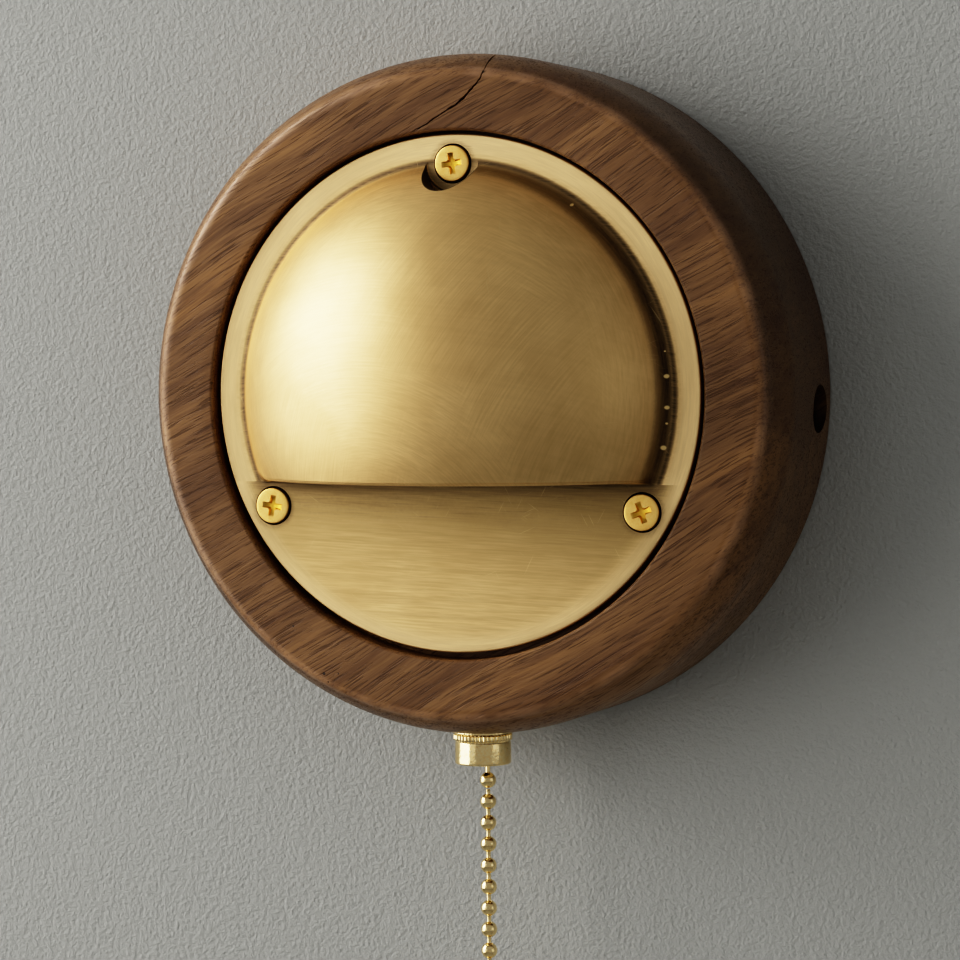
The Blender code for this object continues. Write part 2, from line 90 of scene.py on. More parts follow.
def mesh_from(name, verts, faces, smooth=40.0, weld=1e-6):
    mesh = bpy.data.meshes.new(name)
    mesh.from_pydata([Vector(v) * MM for v in verts], [], faces)
    form = bmesh.new()
    form.from_mesh(mesh)
    bmesh.ops.remove_doubles(form, verts=form.verts, dist=weld)
    bmesh.ops.recalc_face_normals(form, faces=form.faces)
    form.to_mesh(mesh)
    form.free()
    return link(name, mesh, smooth)


AXES = {
    "+Z": Matrix.Identity(3),
    "-Z": Matrix.Rotation(math.pi, 3, "X"),
    "-Y": Matrix.Rotation(math.pi / 2, 3, "X"),
    "+X": Matrix.Rotation(math.pi / 2, 3, "Y"),
    "-X": Matrix.Rotation(-math.pi / 2, 3, "Y"),
}


def lathe_data(profile, axis, where, steps, closed=False, radius=None):
    """Vertices and faces of a turned piece. Profile points are (radius, height); radius() may vary it round the turn."""
    base, where = AXES[axis], Vector(where)
    verts, faces, rows = [], [], []
    for i, (r, h) in enumerate(profile):
        if r < 1e-6:
            rows.append([len(verts)] * steps)
            verts.append(base @ Vector((0, 0, h)) + where)
            continue
        row = []
        for k in range(steps):
            a = 2 * math.pi * k / steps
            rr = r if radius is None else radius(i, r, h, a)
            row.append(len(verts))
            verts.append(base @ Vector((rr * math.cos(a), rr * math.sin(a), h)) + where)
        rows.append(row)
    pairs = list(zip(rows, rows[1:])) + ([(rows[-1], rows[0])] if closed else [])
    for upper, lower in pairs:
        for k in range(steps):
            j = (k + 1) % steps
            quad = []
            for v in (upper[k], lower[k], lower[j], upper[j]):
                if v not in quad:
                    quad.append(v)
            if len(quad) > 2:
                faces.append(quad)
    return verts, faces


def lathe(name, profile, axis="+Z", where=(0, 0, 0), steps=64, closed=False, smooth=40.0, radius=None):
    return mesh_from(name, *lathe_data(profile, axis, where, steps, closed, radius), smooth=smooth)


def arc(cx, cy, r, a0, a1, n):
    return [
        (cx + r * math.cos(math.radians(a0 + (a1 - a0) * k / n)), cy + r * math.sin(math.radians(a0 + (a1 - a0) * k / n)))
        for k in range(n + 1)
    ]


def box_mesh(name, low, high):
    low, high = Vector(low), Vector(high)
    mesh = bpy.data.meshes.new(name)
    form = bmesh.new()
    bmesh.ops.create_cube(form, size=1.0)
    bmesh.ops.scale(form, vec=(high - low) * MM, verts=form.verts)
    bmesh.ops.translate(form, vec=(low + high) / 2 * MM, verts=form.verts)
    form.to_mesh(mesh)
    form.free()
    return link(name, mesh, None)


def cut(obj, *cutters, operation="DIFFERENCE"):
    """Boolean the cutters from the object, apply it, and remove them."""
    for cutter in cutters:
        mod = obj.modifiers.new("cut", "BOOLEAN")
        mod.operation = operation
        mod.solver = "MANIFOLD"
        mod.object = cutter
        apply(obj)
        bpy.data.objects.remove(cutter)
    obj.data.shade_smooth()
    obj.data.set_sharp_from_angle(angle=math.radians(32))
    return obj


def apply(obj):
    """Replace the object's mesh by its evaluated mesh."""
    graph = bpy.context.evaluated_depsgraph_get()
    graph.update()
    made = bpy.data.meshes.new_from_object(obj.evaluated_get(graph))
    obj.modifiers.clear()
    obj.data = made


# ------------------------------------------------------------------ shader helpers
class Shader:
    """A short way to write a node tree. Positions are in millimetres in the row frame at rest."""

    def __init__(self, name):
        self.material = bpy.data.materials.new(name)
        self.material.use_nodes = True
        self.nodes = self.material.node_tree.nodes
        self.links = self.material.node_tree.links
        self.bsdf = self.nodes["Principled BSDF"]
        texture = self.nodes.new("ShaderNodeTexCoord")
        self.p = self.vmath("SCALE", texture.outputs["Object"], scale=1000.0)
        xyz = self.nodes.new("ShaderNodeSeparateXYZ")
        self.links.new(self.p, xyz.inputs[0])
        self.x, self.y, self.z = xyz.outputs

    def put(self, socket, value):
        if hasattr(value, "is_linked") or hasattr(value, "links"):
            self.links.new(value, socket)
        elif isinstance(value, (tuple, list)) and len(value) == 3 and socket.type == "RGBA":
            socket.default_value = (*value, 1.0)
        else:
            socket.default_value = value

    def math(self, op, a, b=0.0, c=None, clamp=False):
        node = self.nodes.new("ShaderNodeMath")
        node.operation = op
        node.use_clamp = clamp
        self.put(node.inputs[0], a)
        self.put(node.inputs[1], b)
        if c is not None:
            self.put(node.inputs[2], c)
        return node.outputs[0]

    def vmath(self, op, a, b=(0, 0, 0), scale=1.0):
        node = self.nodes.new("ShaderNodeVectorMath")
        node.operation = op
        self.put(node.inputs[0], a)
        if op == "SCALE":
            node.inputs["Scale"].default_value = scale
            return node.outputs[0]
        self.put(node.inputs[1], b)
        return node.outputs["Value"] if op in ("LENGTH", "DISTANCE", "DOT_PRODUCT") else node.outputs[0]

    def xyz(self, x, y, z):
        node = self.nodes.new("ShaderNodeCombineXYZ")
        for socket, value in zip(node.inputs, (x, y, z)):
            self.put(socket, value)
        return node.outputs[0]

    def noise(self, vector, scale=1.0, detail=2.0, rough=0.5, warp=0.0):
        node = self.nodes.new("ShaderNodeTexNoise")
        self.put(node.inputs["Vector"], vector)
        node.inputs["Scale"].default_value = scale
        node.inputs["Detail"].default_value = detail
        node.inputs["Roughness"].default_value = rough
        node.inputs["Distortion"].default_value = warp
        return node.outputs["Fac"]

    def step(self, value, low, high, out_low=0.0, out_high=1.0):
        node = self.nodes.new("ShaderNodeMapRange")
        node.interpolation_type = "SMOOTHSTEP"
        self.put(node.inputs["Value"], value)
        for key, number in (("From Min", low), ("From Max", high), ("To Min", out_low), ("To Max", out_high)):
            node.inputs[key].default_value = number
        return node.outputs["Result"]

    def ramp(self, value, stops):
        node = self.nodes.new("ShaderNodeValToRGB")
        band = node.color_ramp
        while len(band.elements) < len(stops):
            band.elements.new(0.5)
        for element, (at, colour) in zip(band.elements, stops):
            element.position = at
            element.color = (*colour, 1.0)
        self.put(node.inputs[0], value)
        return node.outputs[0]

    def mix(self, factor, a, b, kind="MIX"):
        node = self.nodes.new("ShaderNodeMix")
        node.data_type = "RGBA"
        node.blend_type = kind
        self.put(node.inputs[0], factor)
        self.put(node.inputs[6], a)
        self.put(node.inputs[7], b)
        return node.outputs[2]

    def bump(self, height, distance, strength=1.0, normal=None):
        node = self.nodes.new("ShaderNodeBump")
        node.inputs["Strength"].default_value = strength
        node.inputs["Distance"].default_value = distance
        self.put(node.inputs["Height"], height)
        if normal is not None:
            self.put(node.inputs["Normal"], normal)
        return node.outputs[0]

    def attribute(self, name):
        node = self.nodes.new("ShaderNodeAttribute")
        node.attribute_name = name
        return node.outputs["Fac"]

    def out(self, **values):
        names = {
            "colour": "Base Color",
            "rough": "Roughness",
            "metal": "Metallic",
            "normal": "Normal",
            "coat": "Coat Weight",
            "coat_rough": "Coat Roughness",
            "specular": "Specular IOR Level",
            "subsurface": "Subsurface Weight",
            "transmission": "Transmission Weight",
            "alpha": "Alpha",
            "emission": "Emission Color",
            "glow": "Emission Strength",
        }
        for key, value in values.items():
            self.put(self.bsdf.inputs[names[key]], value)
        return self.material


def set_material(obj, material):
    obj.data.materials.clear()
    obj.data.materials.append(material)
    if obj.type == "MESH":
        for polygon in obj.data.polygons:
            polygon.material_index = 0


# ------------------------------------------------------------------ materials
def walnut():
    s = Shader("oiled_walnut")
    ca, sa = math.cos(math.radians(30)), math.sin(math.radians(30))
    along = s.vmath("DOT_PRODUCT", s.p, (ca, 0.10, sa))
    across = s.vmath("DOT_PRODUCT", s.p, (-sa, 0.0, ca))
    warp = s.noise(s.xyz(s.math("MULTIPLY", along, 0.013), s.math("MULTIPLY", across, 0.022), s.math("MULTIPLY", s.y, 0.03)), 1.0, 1.0)
    across = s.math("ADD", across, s.math("MULTIPLY", s.math("SUBTRACT", warp, 0.5), 15.0))
    depth = s.y

    def grain(ka, kb, kd, detail, rough, warp=0.0, seed=0.0):
        return s.noise(
            s.xyz(
                s.math("ADD", s.math("MULTIPLY", along, ka), seed), s.math("MULTIPLY", across, kb), s.math("MULTIPLY", depth, kd)
            ),
            1.0,
            detail,
            rough,
            warp,
        )

    broad = grain(0.012, 0.11, 0.09, 3.0, 0.55)
    rings = grain(0.028, 0.55, 0.40, 3.0, 0.62)
    fine = grain(0.07, 2.9, 2.2, 3.0, 0.68, 0.0, 4.0)
    fibre = grain(0.20, 6.5, 5.0, 2.0, 0.6)
    dashes = grain(0.13, 4.0, 3.0, 1.0, 0.5, 0.0, 9.0)
    long_dashes = grain(0.055, 1.9, 1.4, 2.0, 0.55, 0.0, 17.0)
    base = s.ramp(
        broad,
        [
            (0.28, (0.235, 0.126, 0.054)),
            (0.45, (0.320, 0.182, 0.081)),
            (0.58, (0.405, 0.236, 0.106)),
            (0.75, (0.510, 0.288, 0.114)),
        ],
    )
    dark_ring = s.step(rings, 0.48, 0.64)
    colour = s.mix(s.math("MULTIPLY", dark_ring, 0.62), base, (0.180, 0.090, 0.042))
    light = s.step(rings, 0.44, 0.28)
    colour = s.mix(s.math("MULTIPLY", light, 0.38), colour, (0.56, 0.335, 0.148))
    colour = s.mix(s.step(fine, 0.40, 0.68, 0.0, 0.40), colour, (0.185, 0.094, 0.044))
    pores = s.step(dashes, 0.600, 0.665)
    streaks = s.step(long_dashes, 0.585, 0.675)
    holes = s.math("MAXIMUM", pores, s.math("MULTIPLY", streaks, 0.85))
    colour = s.mix(s.math("MULTIPLY", holes, 0.60), colour, (0.085, 0.042, 0.026))
    colour = s.mix(s.step(fibre, 0.35, 0.72, 0.0, 0.16), colour, (0.62, 0.38, 0.20))
    radius = s.math("SQRT", s.math("ADD", s.math("MULTIPLY", s.x, s.x), s.math("MULTIPLY", s.z, s.z)))
    # painted shade: the wood is darkened a little overall, and a little more towards the right, away from the light
    shade = s.step(s.x, -50.0, 55.0, 0.15, 0.19)
    colour = s.mix(shade, colour, (0.070, 0.034, 0.018))
    # end grain drinks more oil, so the turned side is darker where the grain runs out of it
    run_out = s.math("DIVIDE", s.vmath("DOT_PRODUCT", s.p, (ca, 0.0, sa)), s.math("ADD", radius, 0.01))
    run_out = s.math("MULTIPLY", s.math("MULTIPLY", run_out, run_out), s.step(radius, 61.8, 63.4))
    colour = s.mix(s.math("MULTIPLY", run_out, 0.72), colour, (0.070, 0.040, 0.024))
    # the turned edge is rubbed paler
    worn = s.math("MULTIPLY", s.step(radius, 60.9, 61.9), s.step(s.y, -31.4, -32.8))
    worn = s.math("MULTIPLY", worn, s.step(s.noise(s.p, 0.12, 3.0), 0.35, 0.65, 0.3, 1.0))
    colour = s.mix(s.math("MULTIPLY", worn, 0.35), colour, (0.70, 0.46, 0.30))
    # one clear pin knot and three faint ones near it
    for x, z, size in ((-27.3, -54.36, 0.40), (-33.8, -45.2, 0.24), (-26.5, -56.0, 0.22), (-24.2, -54.3, 0.20)):
        gap = s.vmath("DISTANCE", s.xyz(s.x, 0.0, s.z), (x, 0.0, z))
        colour = s.mix(s.math("MULTIPLY", s.step(gap, size, size * 0.5), 0.9), colour, (0.030, 0.016, 0.012))
    # painted shade inside the side bores, deepest in their lower half
    bore_shade = s.vmath("DISTANCE", s.xyz(0.0, s.y, s.z), (0.0, -7.6, -3.0))
    bore_shade = s.math("MULTIPLY", s.step(bore_shade, 4.75, 4.60), s.step(radius, 60.0, 60.8))
    colour = s.mix(s.math("MULTIPLY", bore_shade, s.step(s.z, -2.0, -5.0, 0.30, 0.88)), colour, (0.014, 0.008, 0.005))
    groove = s.attribute("groove")
    colour = s.mix(groove, colour, (0.010, 0.007, 0.005))
    height = s.math("ADD", s.math("MULTIPLY", holes, -1.0), s.math("MULTIPLY", fine, -0.20))
    height = s.math("ADD", height, s.math("MULTIPLY", fibre, 0.30))
    normal = s.bump(height, 0.00010, 0.7)
    rough = s.math("ADD", 0.34, s.math("MULTIPLY", fine, 0.16))
    rough = s.math("ADD", rough, s.math("MULTIPLY", holes, 0.3))
    return s.out(colour=colour, rough=rough, normal=normal, specular=0.45, coat=0.38, coat_rough=0.24)


def antique_brass():
    """Brushed brass with a dark patina held in the corners, and painted shade in the crease, under the hood, in the
    recesses and towards the right, away from the light; the patina, shade and brushing masks are in the mesh.
    """
    s = Shader("antique_brass")
    zc = s.math("SUBTRACT", s.z, 0.35)
    radius = s.math("SQRT", s.math("ADD", s.math("MULTIPLY", s.x, s.x), s.math("MULTIPLY", zc, zc)))
    ux, uz = s.math("DIVIDE", s.x, radius), s.math("DIVIDE", zc, radius)
    # painted shade with patina on the floor and wall of the notch by the top screw
    notch_x, notch_z = 44.3 * math.cos(math.radians(89.66)), 0.35 + 44.3 * math.sin(math.radians(89.66))
    from_screw = s.vmath("DISTANCE", s.xyz(s.x, 0.0, s.z), (notch_x, 0.0, notch_z))
    notch_shade = s.math("MULTIPLY", s.step(from_screw, 5.62, 5.52), s.step(radius, 45.2, 44.4))
    notch_shade = s.math("MULTIPLY", notch_shade, s.step(s.y, -32.05, -32.35, 0.55, 1.0))
    patina_and_shade = s.math("MAXIMUM", s.attribute("patina_and_shade"), notch_shade)
    rim = s.attribute("rim")
    dome = s.attribute("dome")

    def ringwise(k, kr, detail, seed):
        return s.noise(
            s.xyz(s.math("MULTIPLY", ux, k), s.math("MULTIPLY", uz, k), s.math("ADD", s.math("MULTIPLY", radius, kr), seed)),
            1.0,
            detail,
            0.65,
        )

    def straight(angle, ka, kb, detail, seed):
        c, n = math.cos(math.radians(angle)), math.sin(math.radians(angle))
        a = s.vmath("DOT_PRODUCT", s.p, (c, 0.0, n))
        b = s.vmath("DOT_PRODUCT", s.p, (-n, 0.35, c))
        return s.noise(s.xyz(s.math("MULTIPLY", a, ka), s.math("ADD", s.math("MULTIPLY", b, kb), seed), seed), 1.0, detail, 0.65)

    circ = ringwise(8.0, 3.0, 2.0, 3.0)
    circ_wide = ringwise(3.0, 1.1, 3.0, 9.0)
    hor = straight(-2.0, 0.12, 3.0, 2.0, 5.0)
    hor_wide = straight(-2.5, 0.03, 0.9, 3.0, 15.0)
    # on the dome the strokes swing round a centre below and to the left
    dx, dz = s.math("ADD", s.x, 9.0), s.math("ADD", s.z, 30.0)
    dr = s.math("SQRT", s.math("ADD", s.math("MULTIPLY", dx, dx), s.math("MULTIPLY", dz, dz)))
    swing = s.noise(
        s.xyz(
            s.math("MULTIPLY", s.math("DIVIDE", dx, dr), 5.0),
            s.math("MULTIPLY", s.math("DIVIDE", dz, dr), 5.0),
            s.math("MULTIPLY", dr, 3.0),
        ),
        1.0,
        2.5,
        0.66,
    )
    cross_strokes = straight(64.0, 0.12, 3.0, 2.5, 25.0)
    pick = s.step(s.noise(s.p, 0.045, 2.0), 0.42, 0.58)
    on_dome = s.math("ADD", s.math("MULTIPLY", swing, s.math("SUBTRACT", 1.0, pick)), s.math("MULTIPLY", cross_strokes, pick))
    edge_dome = s.step(radius, 30.0, 40.0)
    on_dome = s.math("ADD", s.math("MULTIPLY", circ, edge_dome), s.math("MULTIPLY", on_dome, s.math("SUBTRACT", 1.0, edge_dome)))
    on_dome = s.math("ADD", s.math("MULTIPLY", on_dome, 0.62), s.math("MULTIPLY", s.noise(s.p, 0.16, 4.0, 0.6), 0.20))
    on_dome = s.math("ADD", on_dome, 0.09)
    flat = s.math("ADD", s.math("MULTIPLY", circ, rim), s.math("MULTIPLY", hor, s.math("SUBTRACT", 1.0, rim)))
    brush = s.math("ADD", s.math("MULTIPLY", on_dome, dome), s.math("MULTIPLY", flat, s.math("SUBTRACT", 1.0, dome)))
    wide = s.math("ADD", s.math("MULTIPLY", circ_wide, rim), s.math("MULTIPLY", hor_wide, s.math("SUBTRACT", 1.0, rim)))
    cloud = s.noise(s.p, 0.055, 3.0, 0.55, 0.4)
    speckle = s.noise(s.p, 1.6, 3.0, 0.6)

    clean = s.mix(s.step(brush, 0.33, 0.67), (0.83, 0.610, 0.325), (0.96, 0.722, 0.402))
    brass_colour = s.mix(s.step(cloud, 0.35, 0.68), clean, s.mix(0.30, clean, (0.64, 0.445, 0.215)))
    age = s.math("MULTIPLY", s.step(wide, 0.40, 0.66), s.math("SUBTRACT", 0.26, s.math("MULTIPLY", dome, 0.20)))
    brass_colour = s.mix(age, brass_colour, (0.52, 0.370, 0.185))
    # scattered fine scratches
    scratch = None
    for angle, seed in ((62.0, 40.0), (118.0, 51.0), (24.0, 63.0), (-35.0, 77.0)):
        one = s.step(straight(angle, 0.11, 3.4, 1.0, seed), 0.70, 0.745)
        one = s.math("MULTIPLY", one, s.step(s.noise(s.p, 0.09 + seed * 0.0004, 1.0), 0.50, 0.60))
        scratch = one if scratch is None else s.math("MAXIMUM", scratch, one)
    brass_colour = s.mix(s.math("MULTIPLY", rim, 0.40), brass_colour, (1.0, 0.80, 0.50))
    # mostly painted shade from the tone mask: darker below the mouth and towards the right, and a little darker at the
    # plate's far left
    brass_colour = s.mix(s.math("MULTIPLY", s.attribute("tone"), 0.85), brass_colour, (0.28, 0.208, 0.095))
    # the patina mask, which also holds painted shade, sets the mid and deep patina colours
    edge = s.math("ADD", patina_and_shade, s.math("MULTIPLY", s.math("SUBTRACT", brush, 0.5), 0.55))
    edge = s.math("ADD", edge, s.math("MULTIPLY", s.math("SUBTRACT", speckle, 0.5), 0.12))
    edge = s.math("MULTIPLY", edge, s.step(patina_and_shade, 0.0, 0.12))
    mid = s.step(edge, 0.10, 0.60)
    deep = s.step(edge, 0.52, 1.02)
    colour = s.mix(s.math("MULTIPLY", mid, 0.72), brass_colour, (0.215, 0.150, 0.085))
    colour = s.mix(s.math("MULTIPLY", deep, 0.90), colour, (0.050, 0.036, 0.028))
    colour = s.mix(s.math("MULTIPLY", scratch, 0.28), colour, (0.86, 0.70, 0.40))
    spots = None
    for x, z, size in ((43.6, 3.68, 0.50), (43.65, -2.2, 0.47), (42.8, -9.78, 0.56), (24.98, 36.14, 0.36), (43.5, -5.2, 0.26), (43.2, 8.37, 0.20)):
        gap = s.vmath("DISTANCE", s.xyz(s.x, 0.0, s.z), (x, 0.0, z))
        spot = s.step(gap, size, size * 0.55)
        spots = spot if spots is None else s.math("MAXIMUM", spots, spot)
    spots = s.math("MULTIPLY", spots, s.step(patina_and_shade, 0.15, 0.4))
    colour = s.mix(spots, colour, (1.0, 0.82, 0.46))
    height = s.math("ADD", brush, s.math("MULTIPLY", scratch, -0.5))
    height = s.math("ADD", height, s.math("MULTIPLY", spots, 3.0))
    normal = s.bump(height, 0.00004, 0.32)
    rough = s.math("ADD", s.math("ADD", 0.39, s.math("MULTIPLY", dome, 0.06)), s.math("MULTIPLY", brush, 0.12))
    rough = s.math("ADD", rough, s.math("MULTIPLY", deep, 0.16))
    metal = s.math("SUBTRACT", 1.0, s.math("MULTIPLY", deep, 0.45))
    return s.out(colour=colour, rough=rough, normal=normal, metal=metal)


def yellow_brass():
    s = Shader("yellow_screw_brass")
    fine = s.noise(s.p, 3.0, 4.0, 0.6)
    cloud = s.noise(s.p, 0.6, 2.0)
    recess = s.attribute("recess")
    colour = s.mix(s.step(fine, 0.3, 0.7), (1.0, 0.66, 0.25), (1.0, 0.73, 0.31))
    colour = s.mix(s.math("MULTIPLY", s.step(cloud, 0.45, 0.7), 0.3), colour, (0.86, 0.50, 0.13))
    # painted shade: the cross recess is coloured a darker amber
    colour = s.mix(s.math("MULTIPLY", recess, 0.8), colour, (0.78, 0.48, 0.07))
    normal = s.bump(s.math("ADD", fine, s.noise(s.p, 9.0, 2.0)), 0.00003, 0.5)
    return s.out(colour=colour, rough=s.math("ADD", 0.34, s.math("MULTIPLY", fine, 0.14)), normal=normal, metal=1.0)


def pale_brass(name, scale=1.0, tarnish=0.35, rough=0.14):
    """Polished, lacquered brass of the chain and the nut."""
    s = Shader(name)
    fine = s.noise(s.p, 2.4 * scale, 4.0, 0.65)
    dirt = s.noise(s.p, 1.1 * scale, 4.0, 0.7)
    colour = s.mix(s.step(fine, 0.3, 0.75), (1.0, 0.77, 0.42), (1.0, 0.87, 0.55))
    spots = s.math("MULTIPLY", s.step(dirt, 0.58, 0.74), tarnish)
    colour = s.mix(spots, colour, (0.26, 0.16, 0.07))
    normal = s.bump(s.noise(s.p, 0.9 * scale, 3.0, 0.6), 0.00018, 0.35)
    rough = s.math("ADD", rough, s.math("MULTIPLY", s.step(dirt, 0.45, 0.8), 0.22))
    return s.out(colour=colour, rough=rough, normal=normal, metal=1.0)


def moulded(name, colour, rough=0.45, scale=1.2, variation=0.12, bump=0.00004, metal=0.0, **more):
    """A plain material with the fine unevenness of a moulded or plated surface."""
    s = Shader(name)
    grain = s.noise(s.p, scale, 4.0, 0.6)
    fine = s.noise(s.p, scale * 7.0, 2.0, 0.5)
    darker = tuple(c * (1 - variation) for c in colour)
    lighter = tuple(min(1.0, c * (1 + variation) + 0.01) for c in colour)
    made = s.mix(s.step(grain, 0.3, 0.7), darker, lighter)
    normal = s.bump(s.math("ADD", fine, s.math("MULTIPLY", grain, 0.5)), bump, 0.5)
    return s.out(
        colour=made,
        rough=s.math("ADD", rough - 0.05, s.math("MULTIPLY", grain, 0.12)),
        normal=normal,
        metal=metal,
        **more,
    )


def brushed_steel(name, colour=(0.60, 0.61, 0.62), axis=0):
    s = Shader(name)
    scale = [0.15, 3.5, 3.5]
    scale[0], scale[axis] = scale[axis], scale[0]
    stretched = s.xyz(*(s.math("MULTIPLY", c, k) for c, k in zip((s.x, s.y, s.z), scale)))
    lines = s.noise(stretched, 1.0, 4.0, 0.65)
    spangle = s.noise(s.p, 0.25, 2.0, 0.5, 1.5)
    made = s.mix(s.step(lines, 0.3, 0.7), tuple(c * 0.86 for c in colour), colour)
    made = s.mix(s.math("MULTIPLY", s.step(spangle, 0.45, 0.6), 0.18), made, (0.70, 0.72, 0.66))
    return s.out(colour=made, rough=s.math("ADD", 0.26, s.math("MULTIPLY", lines, 0.2)), normal=s.bump(lines, 0.00003, 0.5), metal=1.0)


WALNUT = walnut()
BRASS = antique_brass()
SCREW = yellow_brass()
CHAIN = pale_brass("chain_brass", 1.3, 0.30, 0.11)
NUT = pale_brass("nut_brass", 0.8, 0.50, 0.10)
FROSTED = moulded("frosted_acrylic", (0.88, 0.87, 0.84), 0.55, 0.8, 0.03, 0.00003, subsurface=0.35)
ZINC = brushed_steel("zinc_plated_steel")
STEEL = brushed_steel("drawn_steel", (0.55, 0.56, 0.58), 2)
ALLOY = brushed_steel("machined_aluminium", (0.76, 0.77, 0.79))
MOULDED = {
    "white_plastic": moulded("white_moulding", (0.80, 0.80, 0.78)),
    "foam_tape": moulded("foam_tape", (0.10, 0.10, 0.10), 0.9, 3.0, 0.35, 0.0003),
    "nylon": moulded("natural_nylon", (0.74, 0.71, 0.62), 0.5),
    "black_rubber": moulded("grommet_rubber", (0.022, 0.022, 0.022), 0.7, 1.5, 0.3, 0.0001),
    "black_phenolic": moulded("phenolic", (0.022, 0.020, 0.018), 0.32, 1.0, 0.3),
    "circuit_board": moulded("white_solder_mask", (0.82, 0.82, 0.80), 0.4, 2.0, 0.05),
    "led_phosphor": moulded("phosphor", (0.92, 0.74, 0.20), 0.5, 4.0, 0.1, 0.0001),
    "brown_insulation": moulded("brown_wire", (0.16, 0.065, 0.028), 0.4),
    "red_insulation": moulded("red_wire", (0.45, 0.025, 0.02), 0.4),
    "blue_insulation": moulded("blue_wire", (0.03, 0.08, 0.38), 0.4),
    "black_insulation": moulded("black_wire", (0.015, 0.015, 0.015), 0.4),
    "green_insulation": moulded("green_wire", (0.05, 0.28, 0.07), 0.4),
    "walnut": WALNUT,
    "antique_brass": BRASS,
    "screw_brass": SCREW,
    "polished_brass": NUT,
    "frosted_acrylic": FROSTED,
    "aluminium": ALLOY,
    "zinc_steel": ZINC,
    "spring_steel": STEEL,
}
slot_of = {entry["node"]: entry["material_slot"] for entry in frame["record"]["subparts"]}
for node, obj in frame["nodes"].items():
    set_material(obj, MOULDED[slot_of[node]])

# ------------------------------------------------------------------ pull chain
CHAIN_X, CHAIN_Y = 0.9, -17.8
BEAD_R, PITCH, FIRST_Z, BEADS = 1.6, 4.24, -76.15, 33
PIN_R, MOUTH_R = 0.475, 0.66
rng = random.Random(7)


def bead_profile(z, r=BEAD_R, mouth=MOUTH_R, top=True, foot=True):
    """A hollow pressed bead: a ball with a rounded mouth at each pole where the link goes in."""
    open_at = math.degrees(math.asin(mouth / r))
    points = []
    for k in range(25):
        a = math.radians(open_at + (180 - 2 * open_at) * k / 24)
        points.append((r * math.sin(a), z + r * math.cos(a)))
    lip = 0.10
    head = [(PIN_R + 0.02, z + r * math.cos(math.radians(open_at)) - 0.45)] + [
        (mouth - lip, z + r * math.cos(math.radians(open_at)) - 0.16),
        (mouth - lip * 0.4, z + r * math.cos(math.radians(open_at)) - 0.02),
    ]
    tail = [(x, 2 * z - h) for x, h in reversed(head)]
    return head + points + tail


def merge_data(parts):
    verts, faces = [], []
    for v, f in parts:
        base = len(verts)
        verts += v
        faces += [[i + base for i in face] for face in f]
    return verts, faces


def solid_bead(z, steps=28, profile=None):
    tilt = Matrix.Rotation(math.radians(rng.uniform(-7, 7)), 3, Vector((rng.uniform(-1, 1), rng.uniform(-1, 1), 0.01)).normalized())
    centre = Vector((CHAIN_X, CHAIN_Y, z))
    verts, faces = lathe_data(profile or bead_profile(0.0), "+Z", (0, 0, 0), steps, closed=profile is None)
    return [tilt @ Vector(v) + centre for v in verts], faces


def link_pin(z_top, z_foot, steps=14):
    """The thin link between two beads, waisted a little, with rounded ends inside them."""
    mid = (z_top + z_foot) / 2
    half = (z_top - z_foot) / 2
    profile = [(0.0, z_top), (PIN_R * 0.8, z_top - 0.06), (PIN_R, z_top - 0.25)]
    profile += [(PIN_R * (0.90 + 0.10 * (t / half) ** 2), mid + t) for t in (half * 0.55, half * 0.25, 0, -half * 0.25, -half * 0.55)]
    profile += [(PIN_R, z_foot + 0.25), (PIN_R * 0.8, z_foot + 0.06), (0.0, z_foot)]
    return lathe_data(profile, "+Z", (CHAIN_X, CHAIN_Y, 0), steps)


# the first bead turns under the link, whose hollowed end rests on it, so its top is a whole ball
open_at = math.degrees(math.asin(MOUTH_R / BEAD_R))
rim_h = -BEAD_R * math.cos(math.radians(open_at))
top_profile = [(0.0, BEAD_R)]
for k in range(1, 27):
    a = math.radians((180 - open_at) * k / 26)
    top_profile.append((BEAD_R * math.sin(a), BEAD_R * math.cos(a)))
top_profile += [(MOUTH_R - 0.04, rim_h + 0.02), (MOUTH_R - 0.10, rim_h + 0.16), (PIN_R + 0.02, rim_h + 0.45), (0.0, rim_h + 0.45)]
first_bead = mesh_from("top_chain_bead", *solid_bead(FIRST_Z, profile=top_profile), smooth=50)
set_material(first_bead, CHAIN)
chain_parts = [link_pin(FIRST_Z - BEAD_R - 0.15, FIRST_Z - PITCH + BEAD_R - 0.40)]
for n in range(1, BEADS):
    z = FIRST_Z - n * PITCH
    chain_parts.append(solid_bead(z))
    if n < BEADS - 1:
        chain_parts.append(link_pin(z - BEAD_R + 0.40, z - PITCH + BEAD_R - 0.40))
last_z = FIRST_Z - (BEADS - 1) * PITCH
chain_parts.append(link_pin(last_z - BEAD_R + 0.40, last_z - BEAD_R - 0.5))
ball_chain = mesh_from("ball_chain", *merge_data(chain_parts), smooth=50)
set_material(ball_chain, CHAIN)
bell_top = last_z - BEAD_R - 0.5 - 0.05
bell = lathe(
    "chain_bell",
    [(0.0, bell_top - 0.35), (0.62, bell_top - 0.30)]
    + arc(1.0, bell_top - 0.38, 0.38, 120, 20, 5)
    + [(1.46, bell_top - 0.75), (1.40, bell_top - 1.15), (1.52, bell_top - 1.5)]
    + [(1.62 + 1.42 * ((t / 8) ** 1.7), bell_top - 1.9 - 7.6 * t / 8) for t in range(9)]
    + arc(2.62, bell_top - 9.75, 0.46, 20, -80, 6)
    + [(2.1, bell_top - 10.25), (1.6, bell_top - 10.1), (0.0, bell_top - 9.9)],
    "+Z",
    (CHAIN_X, CHAIN_Y, 0),
    steps=48,
)
set_material(bell, CHAIN)
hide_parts("first_bead")
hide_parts("pull_chain")
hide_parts("chain_end_bell")
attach(first_bead, "link_bead")
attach(ball_chain, "chain")
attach(bell, "chain")

